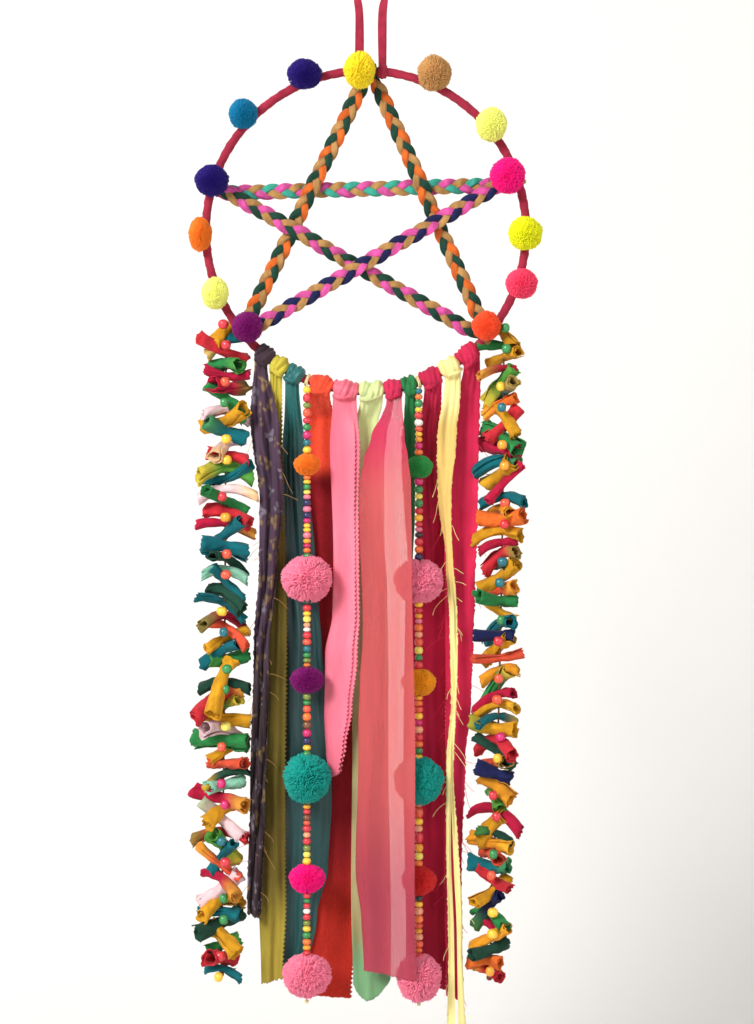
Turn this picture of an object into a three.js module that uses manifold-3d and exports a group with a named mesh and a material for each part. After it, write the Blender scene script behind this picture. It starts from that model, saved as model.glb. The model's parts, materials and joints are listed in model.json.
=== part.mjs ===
// Star dreamcatcher: a cloth-wrapped hoop holds a plaited star and a ring of pompoms, and knotted
// cloth strips, beaded strings and garlands of rolled scraps hang from its lower arc.
// Millimetres, +Z up, front towards -Y. The origin is the inside of the hanging loop's top.
import * as THREE from "three";
import { mergeVertices } from "three/addons/utils/BufferGeometryUtils.js";
import Module from "manifold-3d";

const wasm = await Module();
wasm.setup();

// Hoop: a wire ring inside a wound cloth wrap
const HOOP_RADIUS = 100;
const HOOP_X = -3.1;
const HOOP_Z = -170;
const HOOP_STEPS = 40;
const HOOP_SIDES = 8;
const CORE_SIDES = 6;
const CORE_RADIUS = 1.5;
const CORE_GAP = 0.4;
const WRAP_RADIUS = 2.8;
const WRAP_SEAM = 1.2;
const SEAM_ANGLE = 88.4;

// Fits on the hoop: what is tied fast, and what can turn
const TIED_FIT = 0.55;
const TURN_FIT = 0.75;
const TIE_SIDES = 8;
// How deep into a tie's wall the strand that it holds begins, as a share of the wall
const SEAT_DEPTH = 0.4;

// Hanging loop: a folded cloth strip whose two ends are tied to the hoop's top
const HANGER_WIDTH = 5.6;
const HANGER_THICK = 1.6;
const HANGER_STRAND_X = 7.2;
const HANGER_BEND = 11.2;
const HANGER_TIE_WALL = 1.3;
const HANGER_TWIST_START = 14;
const HANGER_TWIST_END = 34;
const HANGER_SHOULDER_DROP = 24;
const HANGER_SHOULDER_SHARE = 0.6;
const HANGER_STRAIGHT_DROP = 36;
const HANGER_STEPS = 30;

// Star: five plaits of three strands, each tied to the hoop at both ends
const STRAND_WIDTH = 1.9;
const STRAND_THICK = 0.9;
const PLAIT_SWING = 3.6;
const PLAIT_RISE = 1.5;
const PLAIT_PITCH = 34;
const PLAIT_GATHER = 9;
const PLAIT_DRAWN_IN = 0.3;
const STEPS_A_PITCH = 6;
const CROSSING_RISE = 2.6;
const PLAIT_TIE_WIDTH = 3.2;
const PLAIT_TIE_WALL = 1.9;

// Pompoms
const SEAT_GAP = 0.35;
const POMPOM_LEAD = 8;
const KNOT_POMPOM_LEAD = 11;
const POMPOM_BORE = 1.1;
const GROOVE_REACH = 9;
const GROOVE_STEPS = 2;
const POMPOM_SIDES = 8;
const POMPOM_RING_ANGLES = [-66, -22, 22, 66];

// Strips
const CLOTH_THICK = 1.2;
const KNOT_WALL = 2.7;
const KNOT_SHOULDER = 0.86;
const KNOT_EDGE = 1;
const STRIP_ROWS = 9;
const STRIP_ROW_GROWTH = 1.3;
const STRIP_COLUMNS = 5;
const STRIP_SPREAD = 45;

// Beaded strings
const THREAD_RADIUS = 0.5;
const STRING_TIE_WIDTH = 1.2;
const STRING_TIE_WALL = 1.1;
const STRING_FRONT = 3.9;
const STRING_LEAN = 6;
const BEAD_GAP = 0.3;
const BEAD_RADIUS = 2.2;
const BEAD_VARIES = 0.5;
const BEAD_RHYTHM = 2.4;
const BEAD_HOLE_SHARE = 0.08;
const BEAD_WAIST = 0.9;
const BEAD_SIDES = 5;

// Garlands
const GARLAND_CORD_RADIUS = 0.9;
const GARLAND_CORD_SIDES = 6;
const GARLAND_LENGTH = 408;
const GARLAND_START = 22;
const SCRAP_THICK = 6;
const SCRAP_COUNT = 21;
const SCRAP_SIDES = 4;
const SCRAP_REACH = 16;
const SCRAP_REACH_VARIES = 3;
const SCRAP_REACH_RHYTHM = 2.1;
const SCRAP_YAW = 0.6;
const SCRAP_YAW_RHYTHM = 1.7;
const SCRAP_TILT = 0.35;
const SCRAP_TILT_RHYTHM = 2.9;
const SCRAPS_A_BEAD = 3;
const SCRAP_INNER_SHARE = 0.55;
const GARLAND_BEAD_RADIUS = 3.4;

// Finishes
const CRIMSON = 0xb8304a;
const STEEL = 0x9a9a9a;
const STEEL_ROUGHNESS = 0.4;
const CLOTH_ROUGHNESS = 0.9;
const YARN_ROUGHNESS = 1;
const BEAD_ROUGHNESS = 0.4;

const DEGREES = Math.PI / 180;
const WELD = 1e-4;
const FRONT = new THREE.Vector3(0, -1, 0);
const SIDEWAYS = new THREE.Vector3(1, 0, 0);

// Each plait runs between two clock angles on the hoop. Its rise is given at the start, at its two
// crossings (as a share of its length) and at its end: 1 is in front, -1 behind.
const PLAITS = [
  { name: "plait_top_to_lower_left", from: 89.46, to: 218.4, colour: 0xf5762e,
    rise: [[0, 1], [0.42, 1], [0.6, -1], [1, -1]] },
  { name: "plait_top_to_lower_right", from: 87.33, to: 319.9, colour: 0xf5762e,
    rise: [[0, -1], [0.42, 1], [0.59, -1], [1, 1]] },
  { name: "plait_left_to_right", from: 165.8, to: 17.5, colour: 0x45b8a0,
    rise: [[0, -1], [1, -1]] },
  { name: "plait_left_to_lower_right", from: 163.5, to: 317.6, colour: 0xf060b0,
    rise: [[0, 1], [0.3, 1], [0.5, -1], [1, -1]] },
  { name: "plait_right_to_lower_left", from: 19.9, to: 220.6, colour: 0x1e2456,
    rise: [[0, 1], [1, 1]] },
];

// Pompoms on the hoop by clock angle, some tied outside or inside its centre line. Those on a star
// point sit in front of its ties.
const HOOP_POMPOMS = [
  { name: "pompom_yellow_top", angle: 92.2, size: 22, out: -1.8, onPoint: true, colour: 0xffd91e },
  { name: "pompom_indigo_upper", angle: 111.6, size: 20, out: 3.8, colour: 0x2a0a8a },
  { name: "pompom_blue", angle: 136.7, size: 19, out: 4.8, colour: 0x0c90c0 },
  { name: "pompom_indigo_left", angle: 162.7, size: 20.5, onPoint: true, colour: 0x2a0a8a },
  { name: "pompom_orange", angle: 181.7, size: 18.5, out: 3, colour: 0xf58a1e },
  { name: "pompom_pale_yellow", angle: 203, size: 18, out: 1.7, colour: 0xf0ff60 },
  { name: "pompom_purple", angle: 219.7, size: 18, out: -4.6, onPoint: true, colour: 0x80106a },
  { name: "pompom_tan", angle: 66.4, size: 20.5, out: 6.4, colour: 0xc8955a },
  { name: "pompom_neon_yellow", angle: 39.8, size: 21, out: 1.5, colour: 0xf0ff60 },
  { name: "pompom_magenta", angle: 20.5, size: 21, out: -6.2, onPoint: true, colour: 0xff0a9a },
  { name: "pompom_bright_yellow", angle: -1.5, size: 22, out: -1, colour: 0xf5f520 },
  { name: "pompom_coral_pink", angle: -19.2, size: 19.5, out: 2.4, colour: 0xff4a70 },
  { name: "pompom_orange_coral", angle: -38.9, size: 18, out: -4.1, onPoint: true, colour: 0xff5a30 },
];

// Strips: arc is the knot's place along the hoop from its lowest point. Sway and widths are given
// at a few drops below the knot, layer is how far behind the hoop the cloth hangs, and slant
// turns its right edge to the front.
const STRIPS = [
  { name: "strip_purple_floral", arc: -68, knot: 9, length: 344, layer: -1.5, folds: 1, depth: 1.2,
    sway: [[0, 0], [60, -1], [344, -4]], widths: [[45, 13], [200, 10], [344, 9]],
    colour: 0x5a3a5a },
  { name: "strip_olive", arc: -57, knot: 8.6, length: 384, layer: 5, folds: 1, depth: 0.8,
    sway: [[0, 0], [80, -1], [384, -4]], widths: [[45, 8], [250, 9], [384, 13]],
    colour: 0xb8a840 },
  { name: "strip_teal", arc: -46, knot: 9.6, length: 369, layer: 12, folds: 1.5, depth: 1,
    sway: [[0, 0], [80, 1], [369, -1]], widths: [[45, 14], [369, 15]], colour: 0x145a58 },
  { name: "strip_orange_red", arc: -28, knot: 8.5, length: 387, layer: 12, folds: 1, depth: 1,
    sway: [[0, 0], [180, 2], [250, 13], [387, 5]], widths: [[45, 11], [250, 13], [387, 30]],
    colour: 0xd83a24 },
  { name: "strip_pink_satin", arc: -14.5, knot: 12, length: 232, layer: -3, folds: 1.5, depth: 1.6,
    sway: [[0, 0], [60, 1.5], [232, 1.5]], widths: [[45, 14], [170, 14], [232, 7]],
    colour: 0xf06a88 },
  { name: "strip_light_green", arc: 2.4, knot: 11, length: 377, layer: 9, folds: 1, depth: 1,
    sway: [[0, 0], [60, 4], [377, 4]], widths: [[45, 18], [377, 20]], colour: 0xd8f08a },
  { name: "strip_sheer_coral", arc: 17, knot: 9.6, length: 360, layer: -14.5, folds: 1.5, depth: 1,
    sway: [[0, 0], [60, -10.5], [130, -10.5], [170, -6.5], [360, -6.5]], slant: 0.68,
    widths: [[45, 22], [130, 22], [170, 31], [360, 31]], colour: 0xf0806e },
  { name: "strip_emerald", arc: 25.8, knot: 5.6, length: 103, layer: 6, folds: 0.5, depth: 0.6,
    sway: [[0, 0], [103, 0]], widths: [[30, 7], [103, 6.5]], colour: 0x1e7a48 },
  { name: "strip_crimson", arc: 40, knot: 10, length: 375, layer: 12, folds: 1.5, depth: 1,
    sway: [[0, 0], [60, 2], [375, 1]], widths: [[45, 15], [375, 15]], colour: 0xd01850 },
  { name: "strip_cream_yellow", arc: 55.5, knot: 9, length: 417, layer: -3, folds: 0.5, depth: 0.6,
    sway: [[0, 0], [80, 1], [220, 4], [417, 5]], widths: [[45, 7.5], [417, 7]],
    colour: 0xffee90 },
  { name: "strip_raspberry", arc: 70, knot: 12, length: 401, layer: 12, folds: 1.5, depth: 1.2,
    sway: [[0, 0], [80, -3], [401, -6]], widths: [[45, 17], [401, 16]], colour: 0xe81e58 },
];

// Beaded strings: pompoms are given by drop below the hoop, with the beads strung above each.
const STRINGS = [
  { side: "left", arc: -37.5, colour: 0xd8a030 },
  { side: "right", arc: 33.5, colour: 0xd87838 },
];
const STRING_POMPOMS = [
  { label: "small_upper", drop: 53, size: 16, beads: 10 },
  { label: "large_upper", drop: 124, size: 29, beads: 16 },
  { label: "small_middle", drop: 187, size: 19, beads: 12 },
  { label: "large_middle", drop: 248, size: 29.5, beads: 10 },
  { label: "small_lower", drop: 310, size: 20, beads: 11 },
  { label: "large_lower", drop: 370, size: 29, beads: 11 },
];
const STRING_POMPOM_COLOURS = {
  left: [0xf5762e, 0xf05a90, 0x80106a, 0x108a80, 0xff0a9a, 0xf05a90],
  right: [0x3aa050, 0xf05a90, 0xf5a01e, 0x108a80, 0xe03030, 0xf05a90],
};

// Garlands hang outside the strips, with longer scraps on their outer side.
const GARLANDS = [
  { name: "garland_left", arc: -100, outward: -1, colour: 0x8a7a40 },
  { name: "garland_right", arc: 97.5, outward: 1, colour: 0xb8803a },
];

// A value between hand-chosen stops, eased from one to the next
function eased(stops, at) {
  if (at <= stops[0][0]) return stops[0][1];
  for (let i = 1; i < stops.length; i++) {
    const [a, b] = [stops[i - 1], stops[i]];
    if (at <= b[0]) return THREE.MathUtils.lerp(a[1], b[1], THREE.MathUtils.smoothstep(at, a[0], b[0]));
  }
  return stops[stops.length - 1][1];
}

// A closed surface through rings of points, capped by zipping each end ring's two halves together
function loft(rings) {
  const size = rings[0].length;
  const last = (rings.length - 1) * size;
  const index = [];
  for (let start = 0; start < last; start += size) {
    for (let i = 0; i < size; i++) {
      const [a, b] = [start + i, start + ((i + 1) % size)];
      index.push(a, b, b + size, a, b + size, a + size);
    }
  }
  for (let i = 0; i < size / 2 - 1; i++) {
    const [a, b, c, d] = [i, i + 1, size - 2 - i, size - 1 - i];
    index.push(a, c, b, a, d, c);
    index.push(last + a, last + b, last + c, last + a, last + c, last + d);
  }
  const geometry = new THREE.BufferGeometry().setFromPoints(rings.flat());
  geometry.setIndex(index);
  return geometry;
}

// A section, as pairs of across and outward offsets, carried along a path
function sweep(path, section, guide) {
  const rings = path.map((point, k) => {
    const ahead = path[Math.min(k + 1, path.length - 1)];
    const behind = path[Math.max(k - 1, 0)];
    const along = ahead.clone().sub(behind).normalize();
    const out = along.clone().cross(guide(k)).normalize();
    const across = out.clone().cross(along);
    return section.map(([a, o]) => point.clone().addScaledVector(across, a).addScaledVector(out, o));
  });
  return loft(rings);
}

function roundSection(radius, sides) {
  return Array.from({ length: sides }, (unused, i) => {
    const turn = ((i + 0.5) / sides) * 2 * Math.PI;
    return [radius * Math.cos(turn), radius * Math.sin(turn)];
  });
}

function flatSection(width, thick) {
  return [[-width / 2, -thick / 2], [width / 2, -thick / 2], [width / 2, thick / 2], [-width / 2, thick / 2]];
}

// A closed geometry as a solid, with its faces turned outwards
function solid(geometry) {
  const bare = geometry.index ? geometry.toNonIndexed() : geometry.clone();
  bare.deleteAttribute("normal");
  bare.deleteAttribute("uv");
  const merged = mergeVertices(bare, WELD);
  const corners = merged.attributes.position.array;
  const triangles = new Uint32Array(merged.index.array);
  const made = () => new wasm.Manifold(
    new wasm.Mesh({ numProp: 3, vertProperties: corners, triVerts: triangles }),
  );
  if (made().volume() > 0) return made();
  for (let i = 0; i < triangles.length; i += 3) {
    [triangles[i + 1], triangles[i + 2]] = [triangles[i + 2], triangles[i + 1]];
  }
  return made();
}

function joined(geometries) {
  return geometries.map(solid).reduce((whole, piece) => whole.add(piece));
}

const dreamcatcher = new THREE.Group();
const hung = new THREE.Group();
hung.position.set(HOOP_X, 0, HOOP_Z);
dreamcatcher.add(hung);

function addPiece(parent, name, shape, colour, roughness = CLOTH_ROUGHNESS, metalness = 0) {
  const { vertProperties, triVerts } = shape.getMesh();
  const geometry = new THREE.BufferGeometry();
  geometry.setAttribute("position", new THREE.BufferAttribute(vertProperties, 3));
  geometry.setIndex(new THREE.BufferAttribute(triVerts, 1));
  const material = new THREE.MeshStandardMaterial({ color: colour, roughness, metalness });
  const piece = new THREE.Mesh(geometry, material);
  piece.name = name;
  parent.add(piece);
}

// Places on the hoop, in its own frame: clock angle in degrees from +X, anticlockwise from the front
function onHoop(angle, radius = HOOP_RADIUS) {
  return new THREE.Vector3(radius * Math.cos(angle * DEGREES), 0, radius * Math.sin(angle * DEGREES));
}

function tangentAt(angle) {
  return new THREE.Vector3(-Math.sin(angle * DEGREES), 0, Math.cos(angle * DEGREES));
}

function arcToAngle(arc) {
  return 270 + arc / HOOP_RADIUS / DEGREES;
}

function hoopTube(radius, sides, from, to, steps) {
  const path = Array.from({ length: steps + 1 }, (unused, i) => onHoop(from + ((to - from) * i) / steps));
  return sweep(path, roundSection(radius, sides), () => FRONT);
}

// A ring of cloth or thread tied round the hoop, from its bore to its outer radius
function tie(angle, width, bore, outer, shoulder = 1) {
  const half = width / 2;
  const profile = [[bore, -half], [outer * shoulder, -half], [outer, -half * shoulder * shoulder]];
  const upper = profile.map(([r, y]) => [r, -y]).reverse();
  const loop = shoulder < 1 ? [...profile, ...upper] : [profile[0], profile[1], upper[1], upper[2]];
  const points = [...loop, loop[0]].map(([r, y]) => new THREE.Vector2(r, y));
  const ring = new THREE.LatheGeometry(points, TIE_SIDES);
  const turn = new THREE.Quaternion().setFromUnitVectors(new THREE.Vector3(0, 1, 0), tangentAt(angle));
  ring.applyQuaternion(turn);
  const place = onHoop(angle);
  return ring.translate(place.x, place.y, place.z);
}

function buildHoop() {
  const seam = WRAP_SEAM / HOOP_RADIUS / DEGREES / 2;
  const [from, to] = [SEAM_ANGLE + seam, SEAM_ANGLE + 360 - seam];
  const past = seam / 2;
  const skin = solid(hoopTube(WRAP_RADIUS, HOOP_SIDES, from, to, HOOP_STEPS));
  const bore = solid(hoopTube(CORE_RADIUS + CORE_GAP, CORE_SIDES, from - past, to + past, HOOP_STEPS));
  addPiece(hung, "hoop_wrap", skin.subtract(bore), CRIMSON);
  const core = new THREE.TorusGeometry(HOOP_RADIUS, CORE_RADIUS, CORE_SIDES, HOOP_STEPS);
  addPiece(hung, "hoop_core", solid(core.rotateX(Math.PI / 2)), STEEL, STEEL_ROUGHNESS, 1);
}

// The loop's right half, from the top of its bend to its tie, mirrored for the left half
function hangerPath() {
  const centreLine = HANGER_THICK / 2;
  const bendCentre = centreLine - HANGER_BEND;
  const tieWall = HOOP_Z + HOOP_RADIUS + WRAP_RADIUS + TURN_FIT + SEAT_DEPTH * HANGER_TIE_WALL;
  const right = [
    [HANGER_BEND * Math.SQRT1_2, bendCentre + HANGER_BEND * Math.SQRT1_2],
    [HANGER_BEND, bendCentre],
    [THREE.MathUtils.lerp(HANGER_BEND, HANGER_STRAND_X, HANGER_SHOULDER_SHARE), -HANGER_SHOULDER_DROP],
    [HANGER_STRAND_X, -HANGER_STRAIGHT_DROP],
    [HANGER_STRAND_X, tieWall],
  ];
  const left = right.map(([x, z]) => [-x, z]).reverse();
  const stops = [...left, [0, centreLine], ...right].map(([x, z]) => new THREE.Vector3(x, 0, z));
  return new THREE.CatmullRomCurve3(stops, false, "centripetal").getSpacedPoints(HANGER_STEPS);
}

function buildHanger() {
  const path = hangerPath();
  const face = (k) => {
    const turned = THREE.MathUtils.smoothstep(-path[k].z, HANGER_TWIST_START, HANGER_TWIST_END);
    return FRONT.clone().lerp(SIDEWAYS, turned);
  };
  const band = sweep(path, flatSection(HANGER_WIDTH, HANGER_THICK), face);
  const bore = WRAP_RADIUS + TURN_FIT;
  const ties = [-HANGER_STRAND_X, HANGER_STRAND_X].map((x) => {
    const angle = Math.acos((x - HOOP_X) / HOOP_RADIUS) / DEGREES;
    return tie(angle, HANGER_WIDTH, bore, bore + HANGER_TIE_WALL).translate(HOOP_X, 0, HOOP_Z);
  });
  addPiece(dreamcatcher, "hanger_loop", joined([band, ...ties]), CRIMSON);
}

function buildPlait({ name, from, to, rise, colour }) {
  const bore = WRAP_RADIUS + TIED_FIT;
  const seat = bore + SEAT_DEPTH * PLAIT_TIE_WALL;
  const [start, end] = [onHoop(from, HOOP_RADIUS - seat), onHoop(to, HOOP_RADIUS - seat)];
  const along = end.clone().sub(start);
  const length = along.length();
  along.normalize();
  const across = along.clone().cross(FRONT);
  const steps = Math.round((length / PLAIT_PITCH) * STEPS_A_PITCH);
  const strands = [0, 1, 2].map((strand) => {
    const path = Array.from({ length: steps + 1 }, (unused, k) => {
      const run = (k / steps) * length;
      const open = THREE.MathUtils.smoothstep(Math.min(run, length - run), 0, PLAIT_GATHER);
      const turn = 2 * Math.PI * ((k + 0.5) / STEPS_A_PITCH + strand / 3);
      const spread = THREE.MathUtils.lerp(PLAIT_DRAWN_IN, 1, open);
      return start.clone()
        .addScaledVector(along, run)
        .addScaledVector(across, PLAIT_SWING * spread * Math.sin(turn))
        .addScaledVector(FRONT, PLAIT_RISE * spread * Math.sin(2 * turn))
        .addScaledVector(FRONT, CROSSING_RISE * eased(rise, run / length));
    });
    return sweep(path, flatSection(STRAND_THICK, STRAND_WIDTH), () => FRONT);
  });
  const ends = [from, to].map((angle) => tie(angle, PLAIT_TIE_WIDTH, bore, bore + PLAIT_TIE_WALL));
  addPiece(hung, name, joined([...strands, ...ends]), colour);
}

function buildHoopPompom({ name, angle, size, out = 0, onPoint, colour }) {
  const lead = onPoint ? KNOT_POMPOM_LEAD : Math.sqrt(POMPOM_LEAD ** 2 - out ** 2);
  const away = onHoop(angle, out).addScaledVector(FRONT, lead);
  const core = onHoop(angle);
  const place = core.clone().add(away);
  const ball = solid(new THREE.IcosahedronGeometry(size / 2, 1).translate(place.x, place.y, place.z));
  const tieFront = WRAP_RADIUS + TIED_FIT + PLAIT_TIE_WALL + SEAT_GAP;
  const backing = new THREE.BoxGeometry(2 * size, 2 * size, 2 * size);
  backing.translate(0, size + (onPoint ? -tieFront : WRAP_RADIUS), 0);
  const facing = onPoint ? FRONT : away.normalize();
  backing.applyQuaternion(new THREE.Quaternion().setFromUnitVectors(FRONT, facing));
  backing.translate(core.x, core.y, core.z);
  const [from, to] = [angle - GROOVE_REACH, angle + GROOVE_REACH];
  const groove = hoopTube(WRAP_RADIUS + 2 * SEAT_GAP, HOOP_SIDES, from, to, GROOVE_STEPS);
  const seat = onPoint ? solid(backing) : joined([backing, groove]);
  addPiece(hung, name, ball.subtract(seat), colour, YARN_ROUGHNESS);
}

// One strip: a knot round the hoop, and a folded tail that hangs just below it
function buildStrip({ name, arc, knot, length, layer, folds, depth, sway, widths, slant = 0, colour }) {
  const angle = arcToAngle(arc);
  const bore = WRAP_RADIUS + TURN_FIT;
  const head = onHoop(angle, HOOP_RADIUS + bore + KNOT_WALL + SEAT_GAP);
  const rows = Array.from({ length: STRIP_ROWS }, (unused, row) => {
    const drop = length * (row / (STRIP_ROWS - 1)) ** STRIP_ROW_GROWTH;
    const open = THREE.MathUtils.smoothstep(drop, 0, STRIP_SPREAD);
    const width = eased([[0, knot - 2 * KNOT_EDGE], ...widths], drop);
    const side = tangentAt(angle).lerp(SIDEWAYS, open);
    const centre = head.clone();
    centre.x += eased(sway, drop);
    centre.y += layer * open;
    centre.z -= drop;
    const front = Array.from({ length: STRIP_COLUMNS }, (unusedColumn, column) => {
      const u = column / (STRIP_COLUMNS - 1);
      const fold = depth * open * Math.sin(2 * Math.PI * folds * u);
      const point = centre.clone().addScaledVector(side, (u - 0.5) * width);
      return point.addScaledVector(FRONT, fold + slant * open * (u - 0.5) * width);
    });
    const back = front.map((point) => point.clone().addScaledVector(FRONT, -CLOTH_THICK)).reverse();
    return [...front, ...back];
  });
  const loop = tie(angle, knot, bore, bore + KNOT_WALL, KNOT_SHOULDER);
  addPiece(hung, name, solid(loft(rows)), colour);
  addPiece(hung, name.replace("strip", "knot"), solid(loop), colour);
}

// One beaded string: its tie, thread and beads are one solid, and its pompoms are threaded on it
function buildString({ side, arc, colour }) {
  const angle = arcToAngle(arc);
  const bore = WRAP_RADIUS + TURN_FIT;
  const bottom = STRING_POMPOMS[STRING_POMPOMS.length - 1];
  const place = onHoop(angle).addScaledVector(FRONT, STRING_FRONT);
  const lean = Math.atan2(STRING_LEAN, bottom.drop);
  const set = (geometry) => geometry.rotateX(Math.PI / 2 - lean).translate(place.x, place.y, place.z);
  const profile = [[0, 0], [THREAD_RADIUS, 0]];
  let from = bore + STRING_TIE_WALL;
  for (const { label, drop, size, beads } of STRING_POMPOMS) {
    const to = drop - size / 2 - BEAD_GAP;
    const pitch = (to - from) / beads;
    profile.push([THREAD_RADIUS, from]);
    for (let bead = 0; bead < beads; bead++) {
      const radius = BEAD_RADIUS + BEAD_VARIES * Math.sin(BEAD_RHYTHM * bead + drop);
      const [hole, middle] = [bead + BEAD_HOLE_SHARE, bead + 0.5];
      profile.push([BEAD_WAIST, from + pitch * hole], [radius, from + pitch * middle]);
    }
    profile.push([BEAD_WAIST, to], [THREAD_RADIUS, to]);
    from = drop + size / 2 + BEAD_GAP;
    buildThreadedPompom(`pompom_${side}_${label}`, drop, size, set, side);
  }
  profile.push([THREAD_RADIUS, from + BEAD_GAP], [0, from + BEAD_GAP]);
  const points = profile.map(([r, drop]) => new THREE.Vector2(r, -drop));
  const strung = set(new THREE.LatheGeometry(points, BEAD_SIDES));
  const loop = tie(angle, STRING_TIE_WIDTH, bore, bore + STRING_TIE_WALL);
  addPiece(hung, `bead_string_${side}`, joined([strung, loop]), colour, BEAD_ROUGHNESS);
}

function buildThreadedPompom(name, drop, size, set, side) {
  const order = STRING_POMPOMS.findIndex((pompom) => pompom.drop === drop);
  const half = size / 2;
  const outline = POMPOM_RING_ANGLES.map((turn) => {
    return new THREE.Vector2(half * Math.cos(turn * DEGREES), half * Math.sin(turn * DEGREES) - drop);
  });
  const bore = [new THREE.Vector2(POMPOM_BORE, half - drop), new THREE.Vector2(POMPOM_BORE, -half - drop)];
  const ring = new THREE.LatheGeometry([bore[1], ...outline, bore[0], bore[1]], POMPOM_SIDES);
  addPiece(hung, name, solid(set(ring)), STRING_POMPOM_COLOURS[side][order], YARN_ROUGHNESS);
}

// One garland: rolled scraps and beads carried across a cord that is tied to the hoop
function buildGarland({ name, arc, outward, colour }) {
  const angle = arcToAngle(arc);
  const bore = WRAP_RADIUS + TURN_FIT;
  const top = onHoop(angle, HOOP_RADIUS + bore + SEAT_DEPTH * STRING_TIE_WALL);
  const below = (drop) => new THREE.Vector3(top.x, 0, top.z - drop);
  const cord = sweep(
    [below(0), below(GARLAND_LENGTH)],
    roundSection(GARLAND_CORD_RADIUS, GARLAND_CORD_SIDES),
    () => FRONT,
  );
  const pieces = [cord, tie(angle, STRING_TIE_WIDTH, bore, bore + STRING_TIE_WALL)];
  const pitch = (GARLAND_LENGTH - GARLAND_START) / SCRAP_COUNT;
  for (let scrap = 0; scrap < SCRAP_COUNT; scrap++) {
    const drop = GARLAND_START + pitch * (scrap + 0.5);
    const reach = SCRAP_REACH + SCRAP_REACH_VARIES * Math.sin(SCRAP_REACH_RHYTHM * scrap);
    const yaw = SCRAP_YAW * Math.sin(SCRAP_YAW_RHYTHM * scrap + arc);
    const tilt = SCRAP_TILT * Math.sin(SCRAP_TILT_RHYTHM * scrap + outward);
    const arm = new THREE.Vector3(outward * Math.cos(yaw), Math.sin(yaw), -Math.sin(tilt)).normalize();
    const outer = below(drop).addScaledVector(arm, reach);
    const inner = below(drop).addScaledVector(arm, -SCRAP_INNER_SHARE * reach);
    pieces.push(sweep([inner, outer], roundSection(SCRAP_THICK / 2, SCRAP_SIDES), () => FRONT));
    if (scrap % SCRAPS_A_BEAD === 0) {
      const bead = new THREE.IcosahedronGeometry(GARLAND_BEAD_RADIUS);
      pieces.push(bead.translate(top.x, 0, top.z - drop - pitch / 2));
    }
  }
  addPiece(hung, name, joined(pieces), colour);
}

buildHoop();
buildHanger();
PLAITS.forEach(buildPlait);
HOOP_POMPOMS.forEach(buildHoopPompom);
STRIPS.forEach(buildStrip);
STRINGS.forEach(buildString);
GARLANDS.forEach(buildGarland);

export default dreamcatcher;
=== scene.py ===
"""Looks of the star dreamcatcher: wound hoop, plaited star, yarn pompoms, hung cloth, beads and scraps.

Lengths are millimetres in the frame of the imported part, and become metres where a mesh is made.
"""
import json
import math

import bpy
import numpy as np
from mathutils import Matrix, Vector


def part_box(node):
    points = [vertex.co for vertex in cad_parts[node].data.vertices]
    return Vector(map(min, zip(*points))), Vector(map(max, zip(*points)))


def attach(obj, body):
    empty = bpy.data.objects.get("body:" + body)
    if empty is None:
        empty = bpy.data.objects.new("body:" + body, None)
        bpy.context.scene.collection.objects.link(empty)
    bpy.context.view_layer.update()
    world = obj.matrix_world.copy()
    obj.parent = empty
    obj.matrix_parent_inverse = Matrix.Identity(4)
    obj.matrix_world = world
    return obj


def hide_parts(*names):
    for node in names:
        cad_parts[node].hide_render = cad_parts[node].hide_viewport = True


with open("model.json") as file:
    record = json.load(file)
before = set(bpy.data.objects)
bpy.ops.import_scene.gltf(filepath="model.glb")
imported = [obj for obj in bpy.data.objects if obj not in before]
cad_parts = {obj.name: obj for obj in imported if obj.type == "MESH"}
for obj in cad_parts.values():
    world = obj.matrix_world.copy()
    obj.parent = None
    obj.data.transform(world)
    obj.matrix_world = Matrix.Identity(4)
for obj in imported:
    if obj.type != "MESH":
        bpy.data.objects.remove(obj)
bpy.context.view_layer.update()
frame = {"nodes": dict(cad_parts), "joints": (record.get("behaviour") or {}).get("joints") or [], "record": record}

MM = 0.001
TURN = 2 * math.pi
GOLDEN_TURN = math.pi * (3 - math.sqrt(5))
RIGHT = np.array([1.0, 0.0, 0.0])
FRONT = np.array([0.0, -1.0, 0.0])
UP = np.array([0.0, 0.0, 1.0])

RECORD = frame["record"]
JOINTS = {joint["name"]: joint for joint in frame["joints"]}
NODE_SLOT = {part["node"]: part["material_slot"] for part in RECORD["subparts"]}
SLOT_COLOUR = {entry["slot"]: entry["base_color"][:3] for entry in RECORD["materials"]}

# Camera: square to the front, with the photograph's frame in the plane of the hoop
PHOTO_WIDTH, PHOTO_HEIGHT = 754, 1024
VIEW_WIDTH = 471.0
VIEW_HEIGHT = VIEW_WIDTH * PHOTO_HEIGHT / PHOTO_WIDTH
VIEW_CENTRE = (3.8, -345.6)
CAMERA_DISTANCE = 1300.0
SENSOR = 36.0

# Light and backdrop. A lamp has its place and size in metres, and its power. The fade is in metres too
ROOM_COLOUR = (1, 0.985, 0.96, 1)
ROOM_LIGHT = 0.5
ROOM_SEEN = 0.95
LAMP_AIM = (0, 0, -0.35)
LAMPS = [
    ("key", (-0.95, -1.25, 0.45), 0.6, 32),
    ("fill", (1.3, -1.2, -0.2), 1.4, 7),
    ("back", (-0.6, 1.3, 0.5), 1.2, 12),
]
BACKDROP_COLOUR = (0.86, 0.85, 0.83, 1)
BACKDROP_FADE = (1.0, 1.9)
BACKDROP_HALF_WIDTH = 3000.0
BACKDROP_NEAR = -3000.0
BACKDROP_FAR = 620.0
BACKDROP_TOP = 1500.0
BACKDROP_FLOOR = -790.0
BACKDROP_BEND = 260.0
BACKDROP_BEND_STEPS = 13

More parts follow.
